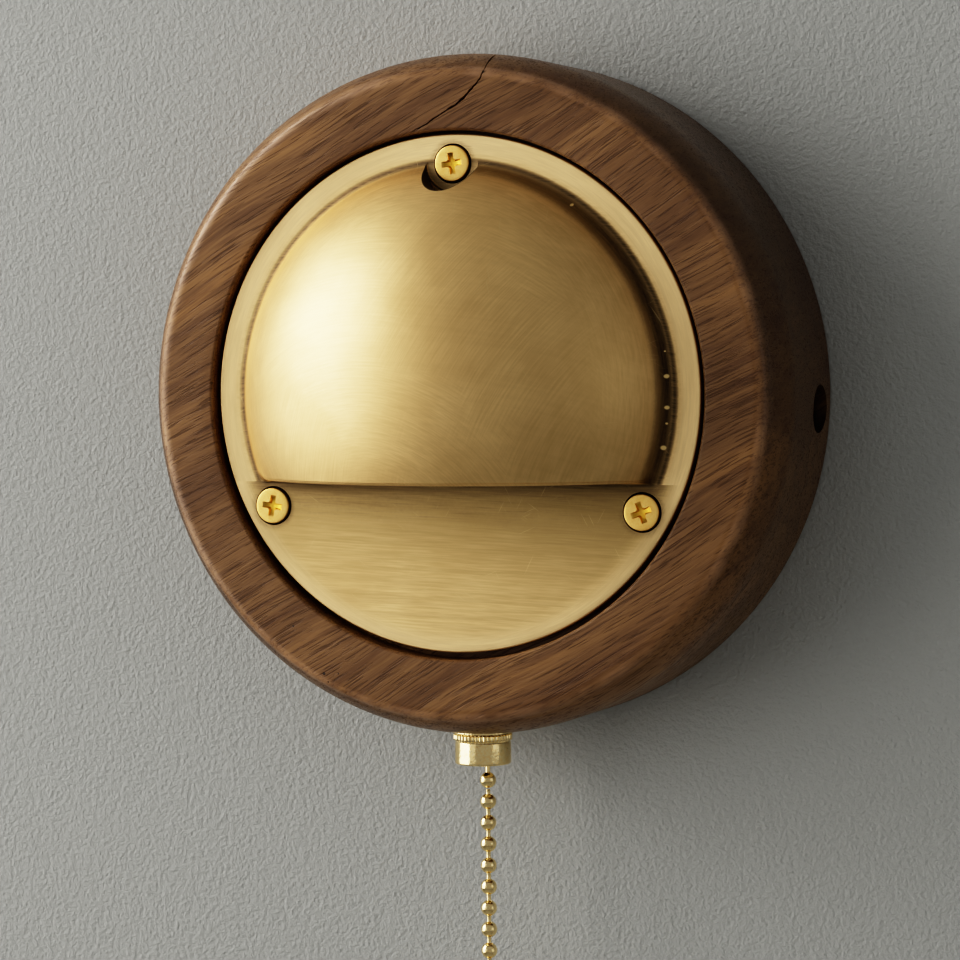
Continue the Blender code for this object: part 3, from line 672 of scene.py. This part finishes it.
# the link that leaves the nut
pull_link = lathe(
    "pull_link",
    [(0.0, -43.6), (1.0, -43.6), (1.2, -43.8), (1.2, -44.3), (1.0, -44.5), (0.46, -44.5), (0.46, FIRST_Z + BEAD_R + 1.0)]
    + [(0.50, FIRST_Z + BEAD_R + 0.7), (0.475, FIRST_Z + 1.550), (0.3, FIRST_Z + 1.594), (0.0, FIRST_Z + 1.622)],
    "+Z",
    (CHAIN_X, CHAIN_Y, 0),
    steps=20,
)
set_material(pull_link, CHAIN)
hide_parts("pull_rod")
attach(pull_link, "pull")

# ------------------------------------------------------------------ knurled nut
NOZZLE_Y = -18.0
TEETH = 44


def knurl(i, r, h, a):
    """Straight knurl on the collar, fading out at its ends."""
    if r < 5.55 or h < -68.25 or h > -66.75:
        return r
    phase = (a * TEETH / (2 * math.pi)) % 1.0
    tooth = abs(phase * 2 - 1)
    return r - 0.20 * (1 - min(1.0, tooth * 1.5))


nut = lathe(
    "knurled_ferrule",
    [(5.15, -66.8), (5.45, -66.8), (5.62, -66.9), (5.78, -67.02), (5.8, -67.2), (5.8, -67.6), (5.8, -67.9), (5.72, -68.04)]
    + [(5.60, -68.12), (5.47, -68.22), (5.44, -68.34), (5.50, -68.5), (5.54, -68.7), (5.56, -70.0), (5.56, -71.9)]
    + arc(5.21, -72.45, 0.35, 0, -90, 6)
    + [(4.0, -72.8), (2.35, -72.8)]
    + arc(2.35, -72.6, 0.2, -90, -180, 3)
    + [(2.15, -71.7), (2.35, -71.5), (5.15, -71.5)],
    "+Z",
    (0, NOZZLE_Y, 0),
    steps=TEETH * 6,
    closed=True,
    radius=knurl,
    smooth=30,
)
set_material(nut, NUT)
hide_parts("ferrule_nut")
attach(nut, "root")

# ------------------------------------------------------------------ hood plate
PLATE_H, PLATE_Z, PLATE_R, PLATE_T = 32.0, 0.35, 50.0, 3.7
ROOT_R, RISE, WALL = 44.3, 26.0, 2.4
MOUTH = -16.4 - PLATE_Z
BALL = (ROOT_R**2 + RISE**2) / (2 * RISE)
BALL_C = RISE - BALL
CORNER = 2.6


def dome_h(x, z):
    """Height of the dome above the plate's front."""
    return math.sqrt(max(0.0, BALL**2 - x * x - z * z)) + BALL_C


def smooth01(t):
    t = max(0.0, min(1.0, t))
    return t * t * (3 - 2 * t)


def footprint(n):
    """Points and outward normals round the hood's D-shaped foot: a circle cut by the mouth's line, with rounded corners."""
    xc = math.sqrt((ROOT_R - CORNER) ** 2 - (MOUTH + CORNER) ** 2)
    zc = MOUTH + CORNER
    join = math.degrees(math.atan2(zc, xc))
    runs = [
        ("circle", math.radians(180 - 2 * join) * ROOT_R),
        ("left", math.radians(90 + join) * CORNER),
        ("line", 2 * xc),
        ("right", math.radians(90 + join) * CORNER),
    ]
    share = {"circle": 0.48, "left": 0.07, "line": 0.38, "right": 0.07}
    points = []
    for kind, _ in runs:
        m = max(8, round(n * share[kind]))
        for k in range(m):
            t = k / m
            if kind == "circle":
                a = math.radians(join + (180 - 2 * join) * t)
                nx, nz = math.cos(a), math.sin(a)
                points.append((ROOT_R * nx, ROOT_R * nz, nx, nz))
            elif kind == "left":
                a = math.radians(180 - join + (90 + join) * t)
                nx, nz = math.cos(a), math.sin(a)
                points.append((-xc + CORNER * nx, zc + CORNER * nz, nx, nz))
            elif kind == "line":
                points.append((-xc + 2 * xc * t, MOUTH, 0.0, -1.0))
            else:
                a = math.radians(270 + (90 + join) * t)
                nx, nz = math.cos(a), math.sin(a)
                points.append((xc + CORNER * nx, zc + CORNER * nz, nx, nz))
    return points


def bezier(p0, p1, p2, n):
    return [
        (
            (1 - t) ** 2 * p0[0] + 2 * t * (1 - t) * p1[0] + t * t * p2[0],
            (1 - t) ** 2 * p0[1] + 2 * t * (1 - t) * p1[1] + t * t * p2[1],
        )
        for t in (k / n for k in range(n + 1))
    ]


N_ROUND = 720
N_DOME = 70
EDGE_R, FOOT_R = 0.55, 0.8


def hood_mesh():
    foot = footprint(N_ROUND)
    rows = []  # each row is a list of (x, z, h)
    c0 = (0.0, 8.0)
    edge_start = []
    for x, z, nx, nz in foot:
        w = max(0.0, dome_h(x, z))
        q = smooth01(w / 3.5)
        start = -(1 - q) * 0.8 - q * EDGE_R
        sx, sz = x + nx * start, z + nz * start
        edge_start.append((sx, sz, w, q, start))
    for i in range(N_DOME + 1):
        t = (i / N_DOME) ** 0.85
        rows.append([(c0[0] + (sx - c0[0]) * t, c0[1] + (sz - c0[1]) * t) for sx, sz, *_ in edge_start])
    rows = [[(x, z, dome_h(x, z)) for x, z in row] for row in rows]
    n_prof = 16
    profiles = []
    for (x, z, nx, nz), (sx, sz, w, q, start) in zip(foot, edge_start):
        h0 = dome_h(sx, sz)
        soft = bezier((start, h0), (0.05, 0.0), (1.1, 0.0), n_prof)
        r = min(EDGE_R, w * 0.45) + 1e-4
        f = min(FOOT_R, w * 0.45) + 1e-4
        top = w - r * 0.35
        hard = [(-r + r * math.sin(math.pi / 2 * k / 6), top - r + r * math.cos(math.pi / 2 * k / 6)) for k in range(7)]
        hard[0] = (start, h0)
        hard += [(0.0, f + (top - r - f) * t) for t in (0.75, 0.5, 0.25)]
        hard += [(f - f * math.cos(math.pi / 2 * k / 6), f - f * math.sin(math.pi / 2 * k / 6)) for k in range(7)]
        profiles.append([((1 - q) * a[0] + q * b[0], (1 - q) * a[1] + q * b[1]) for a, b in zip(soft, hard)])
    for j in range(1, n_prof + 1):
        rows.append(
            [
                (x + nx * prof[j][0], z + nz * prof[j][0], max(0.0, prof[j][1]))
                for (x, z, nx, nz), prof in zip(foot, profiles)
            ]
        )
    ends = rows[-1]
    rim_r = PLATE_R - 0.35
    rims = []
    for x, z, _ in ends:
        d = math.hypot(x, z)
        rims.append((x / d * rim_r, z / d * rim_r))
    n_flat = 26
    for i in range(1, n_flat + 1):
        t = i / n_flat
        rows.append([(x + (gx - x) * t, z + (gz - z) * t, 0.0) for (x, z, _), (gx, gz) in zip(ends, rims)])
    for r, h in arc(PLATE_R - 0.35, -0.35, 0.35, 90, 0, 5)[1:] + [(PLATE_R, -PLATE_T)]:
        rows.append([(gx / rim_r * r, gz / rim_r * r, h) for gx, gz in rims])
    for r in (45.0,):
        rows.append([(gx / rim_r * r, gz / rim_r * r, -PLATE_T) for gx, gz in rims])
    verts, faces = [], []
    centre_top = 0
    verts.append((c0[0], -(PLATE_H + dome_h(*c0)), c0[1] + PLATE_Z))
    index = []
    for row in rows[1:]:
        index.append(range(len(verts), len(verts) + len(row)))
        verts += [(x, -(PLATE_H + h), z + PLATE_Z) for x, z, h in row]
    bottom = len(verts)
    verts.append((0, -(PLATE_H - PLATE_T), PLATE_Z))
    n = len(foot)
    for k in range(n):
        j = (k + 1) % n
        faces.append((centre_top, index[0][k], index[0][j]))
        for a, b in zip(index, index[1:]):
            faces.append((a[k], b[k], b[j], a[j]))
        faces.append((index[-1][k], bottom, index[-1][j]))
    return mesh_from("hood_and_plate", verts, faces, smooth=32, weld=1e-9)


def dome_profile(offset, floor, n=24):
    ball = BALL - offset
    rim = math.sqrt(ball**2 - (floor - BALL_C) ** 2)
    last = math.atan2(rim, floor - BALL_C)
    return [(ball * math.sin(last * k / n), BALL_C + ball * math.cos(last * k / n)) for k in range(n + 1)] + [(0.0, floor)]


hood = hood_mesh()
SCREW_SPOTS = {}
for name, angle in (("top", 90.0), ("left", 210.0), ("right", 330.0)):
    a = math.radians(angle - 0.34)
    SCREW_SPOTS[name] = (44.3 * math.cos(a), PLATE_Z + 44.3 * math.sin(a))
hollow = lathe("hollow", dome_profile(WALL, 0.4), "-Y", (0, -PLATE_H, PLATE_Z), steps=160, smooth=None)
window = box_mesh("window", (-22, -PLATE_H - 1, -2), (22, -PLATE_H + 6, 14))
cutters = [hollow, window]
for name, (x, z) in SCREW_SPOTS.items():
    cutters.append(
        lathe(
            "screw_hole",
            ([(0, 52), (5.5, 52), (5.5, 32.4), (5.2, 32.06), (5.0, 32.03)] if name == "top" else [(0, 34)])
            + [(3.85, 32.03 if name == "top" else 34), (3.85, 30.25), (3.6, 30.0), (2.3, 30.0), (2.3, 26.0), (0, 26.0)],
            "-Y",
            (x, 0, z),
            steps=72,
            smooth=None,
        )
    )
for x in (-28.0, 28.0):
    cutters.append(lathe("tapped", [(0, 30.6), (1.8, 30.6), (1.8, 27.0), (0, 27.0)], "-Y", (x, 0, 6), steps=20, smooth=None))
cut(hood, *cutters)


def brass_masks(obj):
    """Masks of patina with painted shade, of darker tone that is mostly painted shade, of the rim and of the dome,
    worked out from where each point lies on the plate.
    """
    mesh = obj.data
    masks = {name: [] for name in ("patina_and_shade", "tone", "rim", "dome")}
    xc = math.sqrt(ROOT_R**2 - MOUTH**2)
    for v in mesh.vertices:
        x, z, h = v.co.x * 1000, v.co.z * 1000 - PLATE_Z, -v.co.y * 1000 - PLATE_H
        r = math.hypot(x, z)
        a = math.degrees(math.atan2(z, x))
        value = dark = 0.0
        above = z > MOUTH - 0.4
        below = MOUTH - z
        if above:
            # patina in the crease round the dome as a thin line all round, and painted shade widening it into a dark
            # band on the right, away from the light
            side = (0.5 + 0.5 * math.cos(math.radians(a - 12))) ** 1.5
            g = r - ROOT_R
            line = (1 - smooth01(abs(g - 0.55) / 1.15)) * 0.78
            inner = side * 0.88 * (1 - smooth01(abs(g + 0.7) / 2.5))
            outer = side * 0.10 * (1 - smooth01(g / 3.0)) if g > 0 else 0.0
            value = max(line, inner, outer)
        elif h < 1.2:
            # patina and painted shade under the hood: a dark band below the mouth, darkest near it and at its corners;
            # the tone mask adds painted shade below the mouth and towards the right
            inside = max(0.0, 1 - max(0.0, abs(x) - xc + 1.0) / 6.0)
            fade = 1 - smooth01(below / 15.0)
            sharp = 1 - smooth01(below / 3.4)
            value = inside * (0.36 * fade + 0.44 * sharp)
            corner = math.hypot(abs(x) - xc, below)
            value = max(value, 0.50 * (1 - smooth01(corner / 6.0)))
            dark = inside * 0.60 * (1 - smooth01(below / 25.0)) + 0.34 * smooth01((x + 30.0) / 70.0) * (1 - smooth01((r - 44.5) / 3.0))
        # patina and painted shade on the inner faces of the hood just above the mouth
        if -0.3 < below < 4 and 1.2 < h < dome_h(x, z) - 0.8:
            value = 0.8
        # painted shade inside the screw counterbores, and a soft dark ring round them
        for sx, sz in SCREW_SPOTS.values():
            d = math.hypot(x - sx, z + PLATE_Z - sz)
            if d < 4.75 and h < -0.15:
                value = 0.9
            elif d < 6.0:
                value = max(value, 0.34 * (1 - smooth01((d - 3.9) / 2.0)))
        if above and h < 0.2 and x < 0:
            dark = max(dark, 0.16 * smooth01((-x - 30.0) / 15.0) * (1 - smooth01((z - 10.0) / 20.0)))
        # painted shade: the dome darkens towards the right, away from the light
        if above and h > 0.2:
            dark = max(dark, 0.20 * smooth01((x - 12.0) / 22.0))
        # patina and painted shade on the plate's edge, back and holes, below its front face
        if h < -0.9:
            value = max(value, 0.7)
        masks["patina_and_shade"].append(value)
        masks["tone"].append(min(1.0, dark))
        masks["rim"].append(smooth01((r - 45.0) / 2.0) if above else smooth01((r - 45.6) / 3.0))
        masks["dome"].append(1.0 if (h > 0.35 and above) else 0.0)
    for name, values in masks.items():
        mesh.attributes.new(name, "FLOAT", "POINT").data.foreach_set("value", values)


brass_masks(hood)
set_material(hood, BRASS)
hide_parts("hood_plate")
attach(hood, "root")

# frosted diffuser in the mouth
diffuser = lathe("frosted_diffuser", dome_profile(WALL + 0.3, 0.7, 40), "-Y", (0, -PLATE_H, PLATE_Z), steps=200, smooth=None)
cut(diffuser, box_mesh("slab", (-60, -80, -15.0), (60, -PLATE_H - 0.8, -13.2)), operation="INTERSECT")
bevel = diffuser.modifiers.new("edge", "BEVEL")
bevel.width, bevel.segments, bevel.limit_method = 0.25 * MM, 2, "ANGLE"
apply(diffuser)
diffuser.data.shade_smooth()
diffuser.data.set_sharp_from_angle(angle=math.radians(40))
set_material(diffuser, FROSTED)
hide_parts("hood_diffuser")
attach(diffuser, "root")


# ------------------------------------------------------------------ screws
def phillips(obj, axis, where, reach, width, depth, spin):
    """Cut a cross recess whose arms taper downwards and flare a little at their ends."""
    base, where = AXES[axis], Vector(where)
    cutters = []
    for k in range(2):
        a = math.radians(spin) + k * math.pi / 2
        turn = Matrix.Rotation(a, 3, "Z")
        verts = []
        for h, half, wide in ((0.6, reach, width), (0.0, reach * 0.97, width), (-depth * 0.6, reach * 0.78, width * 0.80), (-depth, reach * 0.50, width * 0.62)):
            for sx, sy in ((-1, -1), (1, -1), (1, 1), (-1, 1)):
                verts.append(base @ (turn @ Vector((sx * half, sy * wide / 2, h))) + where)
        faces = [(0, 1, 2, 3), (12, 15, 14, 13)]
        for level in range(3):
            for c in range(4):
                d = (c + 1) % 4
                faces.append((level * 4 + c, (level + 1) * 4 + c, (level + 1) * 4 + d, level * 4 + d))
        cutters.append(mesh_from("cross", verts, faces, smooth=None))
    hub = lathe(
        "hub",
        [(0, 0.6), (width * 0.90, 0.6), (width * 0.90, 0), (width * 0.62, -depth * 0.85), (0, -depth * 1.10)],
        axis,
        where,
        steps=24,
        smooth=None,
    )
    cut(obj, *cutters, hub)


def cheese_screw(name, head_r, head_t, shank_r, length, axis, where, spin, material, node, crown=0.05, width=1.15):
    profile = [(0.0, 0.0)] + [(head_r * t, -crown * t**2) for t in (0.2, 0.4, 0.6, 0.8)]
    profile += arc(head_r - 0.22, -crown - 0.22, 0.22, 86, 0, 5)
    profile += [(head_r, -head_t + 0.08), (head_r - 0.08, -head_t), (shank_r + 0.2, -head_t), (shank_r, -head_t - 0.15)]
    pitch, h = 0.7, -head_t - 0.9
    while h > -length + 1.2:
        profile += [(shank_r, h), (shank_r - 0.28, h - pitch * 0.45), (shank_r, h - pitch * 0.9)]
        h -= pitch
    profile += [(shank_r, -length + 0.5), (shank_r - 0.5, -length), (0.0, -length)]
    screw = lathe(name, profile, axis, where, steps=72, smooth=35)
    phillips(screw, axis, where, head_r * 0.62, width, 0.55, spin)
    flag = screw.data.attributes.new("recess", "FLOAT", "POINT")
    out = AXES[axis] @ Vector((0, 0, 1))
    for v in screw.data.vertices:
        local = v.co * 1000 - Vector(where)
        depth = -local.dot(out)
        radial = (local - out * local.dot(out)).length
        flag.data[v.index].value = smooth01((depth - crown - 0.05) / 0.25) if radial < head_r * 0.72 and depth < head_t - 0.2 else 0.0
    set_material(screw, material)
    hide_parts(node)
    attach(screw, "root")
    return screw


for name, spin in (("top", 8.0), ("left", -8.0), ("right", 20.0)):
    x, z = SCREW_SPOTS[name]
    cheese_screw("brass_screw_" + name, 3.5, 2.4, 1.95, 13.7, "-Y", (x, -PLATE_H - 0.7, z), spin, SCREW, "face_screw_" + name)
for name, axis, sign in (("left", "-X", -1), ("right", "+X", 1)):
    cheese_screw(
        "lock_screw_" + name, 3.6, 2.6, 1.95, 18.0, axis, (sign * 63.9, -7.6, -3.0), 35.0, ZINC, "side_screw_" + name
    )

# ------------------------------------------------------------------ wooden body
WOOD_STEPS = 400


def wood_side(h):
    if h <= 24.0:
        return 66.2
    return 66.2 - 3.3 * ((h - 24.0) / 8.6) ** 2


def wood_mesh():
    crease = [(60.6, 33.5), (61.2, 33.46), (61.75, 33.34), (62.25, 33.13), (62.66, 32.83), (62.98, 32.44), (63.22, 31.98)]
    side = [(wood_side(h), h) for h in [31.5 - 0.45 * k for k in range(18)]]
    outer = crease + side
    outer += [(66.2, h) for h in (22, 18, 14, 10, 6, 3, 1.2)]
    outer += arc(65.6, 0.6, 0.6, 0, -90, 4)
    inner = [(60, 0), (54.4, 0), (54, 0.4), (54, 7), (54, 13), (46, 13), (38.3, 13), (38, 13.3), (38, 20), (38, 28)]
    inner += [(45, 28), (50.95, 28), (50.95, 30.0), (50.95, 32.8)] + arc(51.65, 32.8, 0.7, 180, 90, 6)[1:]
    inner += [(54, 33.5), (55, 33.5), (57, 33.5), (59, 33.5), (60.3, 33.5)]
    return lathe("turned_walnut_body", outer + inner, "-Y", steps=WOOD_STEPS, closed=True, smooth=35)


CRACK = [  # the drying crack: (x, y, z) on the surface and its half width
    (7.10, -25.4, 66.0, 0.10),
    (7.17, -28.0, 65.05, 0.20),
    (7.22, -31.0, 63.9, 0.17),
    (7.15, -33.3, 62.2, 0.14),
    (6.64, -33.5, 60.66, 0.16),
    (5.75, -33.5, 59.6, 0.20),
    (4.57, -33.5, 58.46, 0.24),
    (3.2, -33.5, 57.0, 0.25),
    (1.45, -33.5, 55.71, 0.24),
    (-0.2, -33.5, 54.9, 0.15),
    (-1.67, -33.5, 53.95, 0.11),
    (-3.1, -33.5, 53.2, 0.16),
    (-4.8, -33.5, 52.1, 0.15),
    (-6.4, -33.5, 51.45, 0.10),
    (-7.6, -33.5, 50.9, 0.06),
]


def crack_cutter():
    """A thin wedge that follows the crack, wide at the surface and sharp below."""
    points = [Vector(p[:3]) for p in CRACK]
    widths = [p[3] for p in CRACK]
    fine, half = [], []
    for i in range(len(points) - 1):
        for k in range(5):
            t = k / 5
            fine.append(points[i].lerp(points[i + 1], t))
            half.append(widths[i] * (1 - t) + widths[i + 1] * t)
    fine.append(points[-1])
    half.append(widths[-1])
    verts, faces = [], []
    for i, (p, w) in enumerate(zip(fine, half)):
        ahead = (fine[min(i + 1, len(fine) - 1)] - fine[max(i - 1, 0)]).normalized()
        out = Vector((p.x * 0.0, -1.0, 0.0)) if p.y < -33.2 else Vector((p.x / 66, -0.42, p.z / 66)).normalized()
        side = ahead.cross(out).normalized()
        jag = rng.uniform(-0.05, 0.05)
        mid = p + side * jag
        w = w * rng.uniform(0.7, 1.25)
        verts += [mid + out * 1.2 + side * w * 1.5, mid + out * 1.2 - side * w * 1.5, mid - out * 1.5]
    for i in range(len(fine) - 1):
        a, b = 3 * i, 3 * i + 3
        faces += [(a, a + 1, b + 1, b), (a + 1, a + 2, b + 2, b + 1), (a + 2, a, b, b + 2)]
    faces += [(0, 2, 1), (3 * len(fine) - 3, 3 * len(fine) - 2, 3 * len(fine) - 1)]
    return mesh_from("crack", verts, faces, smooth=None)


wood = wood_mesh()
wood_cutters = [
    box_mesh("pocket", (-13.8, -25.6, -56.6), (13.8, -8.6, -30.0)),
    lathe("nozzle_hole", [(0, 75), (6.8, 75), (6.8, 65.6), (5.3, 65.6), (5.3, 50), (0, 50)], "-Z", (0, NOZZLE_Y, 0), steps=64, smooth=None),
]
for axis in ("-X", "+X"):
    wood_cutters.append(
        lathe("side_hole", [(0, 72), (4.65, 72), (4.65, 61), (2.3, 61), (2.3, 48), (0, 48)], axis, (0, -7.6, -3.0), steps=64, smooth=None)
    )
for x, z in SCREW_SPOTS.values():
    wood_cutters.append(lathe("insert_bore", [(0, 29.5), (3.5, 29.5), (3.5, 17.5), (0, 17.5)], "-Y", (x, 0, z), steps=32, smooth=None))
cut(wood, *wood_cutters)
before = {tuple(round(c * 1e6) for c in v.co) for v in wood.data.vertices}
cut(wood, crack_cutter())
groove = wood.data.attributes.new("groove", "FLOAT", "POINT")
for v in wood.data.vertices:
    if tuple(round(c * 1e6) for c in v.co) in before:
        continue
    r, h = math.hypot(v.co.x, v.co.z) * 1000, -v.co.y * 1000
    depth = max(0.0, min(33.5 - h, (wood_side(h) - r) if h < 33.0 else 33.5 - h))
    groove.data[v.index].value = smooth01((depth - 0.08) / 0.35)
set_material(wood, WALNUT)
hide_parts("wood_body")
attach(wood, "root")

# the return spring, which is pressed together as the chain is pulled, gets a mesh of its own
for node in ("return_spring",):
    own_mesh(frame["nodes"][node])

# ------------------------------------------------------------------ wall, floor and light
def stage_plane(name, size, where, turn, material):
    mesh = bpy.data.meshes.new(name)
    form = bmesh.new()
    bmesh.ops.create_grid(form, x_segments=2, y_segments=2, size=size)
    form.to_mesh(mesh)
    form.free()
    obj = bpy.data.objects.new(name, mesh)
    obj.location, obj.rotation_euler = where, turn
    scene.collection.objects.link(obj)
    mesh.materials.append(material)
    return obj


def wall_paint():
    s = Shader("wall_paint")
    lumps = s.noise(s.p, 1.20, 3.0, 0.5)
    fine = s.noise(s.p, 2.8, 2.0, 0.5)
    height = s.math("ADD", lumps, s.math("MULTIPLY", fine, 0.25))
    made = s.out(colour=(0.525, 0.535, 0.522), rough=0.75, normal=s.bump(height, 0.00040, 0.80))
    geometry = s.nodes.new("ShaderNodeNewGeometry")
    clear = s.nodes.new("ShaderNodeBsdfTransparent")
    blend = s.nodes.new("ShaderNodeMixShader")
    s.links.new(geometry.outputs["Backfacing"], blend.inputs[0])
    s.links.new(s.bsdf.outputs[0], blend.inputs[1])
    s.links.new(clear.outputs[0], blend.inputs[2])
    s.links.new(blend.outputs[0], s.nodes["Material Output"].inputs["Surface"])
    return made


def stage_wall(material):
    """The wall, with a round opening behind the body that the body hides, so that light reaches its back."""
    steps, verts, faces = 128, [], []
    for radius in (0.065, 2.8):
        for k in range(steps):
            a = 2 * math.pi * k / steps
            verts.append((radius * math.cos(a), 0.0005, radius * math.sin(a)))
    for k in range(steps):
        n = (k + 1) % steps
        faces.append((k, n, steps + n, steps + k))
    mesh = bpy.data.meshes.new("wall")
    mesh.from_pydata(verts, [], faces)
    mesh.update()
    if mesh.polygons[0].normal.y > 0:
        mesh.flip_normals()
    obj = bpy.data.objects.new("wall", mesh)
    scene.collection.objects.link(obj)
    mesh.materials.append(material)


stage_wall(wall_paint())
stage_plane("floor", 4.0, (0, 0, -1.6), (0, 0, 0), moulded("floor_paint", (0.62, 0.62, 0.60), 0.7, 0.02, 0.02))


def area(name, where, at, size, power, colour=(1, 1, 1), size_y=None):
    data = bpy.data.lights.new(name, "AREA")
    data.energy = power
    data.color = colour
    data.size = size
    if size_y:
        data.shape = "RECTANGLE"
        data.size_y = size_y
    obj = bpy.data.objects.new(name, data)
    obj.location = where
    obj.rotation_euler = (Vector(at) - Vector(where)).to_track_quat("-Z", "Y").to_euler()
    scene.collection.objects.link(obj)
    return obj


area("key", (-0.92, -0.30, 0.52), (0, -0.04, 0), 0.60, 5.2, (1.0, 0.98, 0.95))
area("left_window", (-1.20, -0.62, 0.06), (0, -0.04, 0), 1.25, 10.0, (1.0, 0.965, 0.925), 1.25)
area("front_left", (-0.78, -1.41, 0.14), (0, -0.04, 0), 1.0, 1.0, (1.0, 0.99, 0.98))
area("right_panel", (1.45, -0.45, 0.15), (0, -0.04, 0), 0.8, 0.62)
area("back_fill", (0.4, 1.6, 0.8), (0, 0, 0), 1.2, 9.0)
world = bpy.data.worlds.new("studio")
world.use_nodes = True
world.node_tree.nodes["Background"].inputs[0].default_value = (1.0, 0.99, 0.965, 1)
world.node_tree.nodes["Background"].inputs[1].default_value = 0.31
scene.world = world

# a photographic response: a gentle toe and shoulder in each channel
view = scene.view_settings
view.view_transform = "Standard"
view.look = "None"
view.use_curve_mapping = True
mapping = view.curve_mapping
mapping.white_level = (3.0, 3.0, 3.0)
mapping.update()
tone = mapping.curves[3]
POWER, KNEE, TOP = 1.9, 0.5**1.9, 1.02
stops = [0.0, 0.02, 0.05, 0.09, 0.14, 0.2, 0.28, 0.38, 0.5, 0.65, 0.85, 1.1, 1.45, 1.9, 2.4, 3.0]
while len(tone.points) < len(stops):
    tone.points.new(0.5, 0.5)
for point, x in zip(tone.points, stops):
    point.location = (x / 3.0, min(1.0, TOP * x**POWER / (x**POWER + KNEE)))
    point.handle_type = "AUTO"
mapping.update()
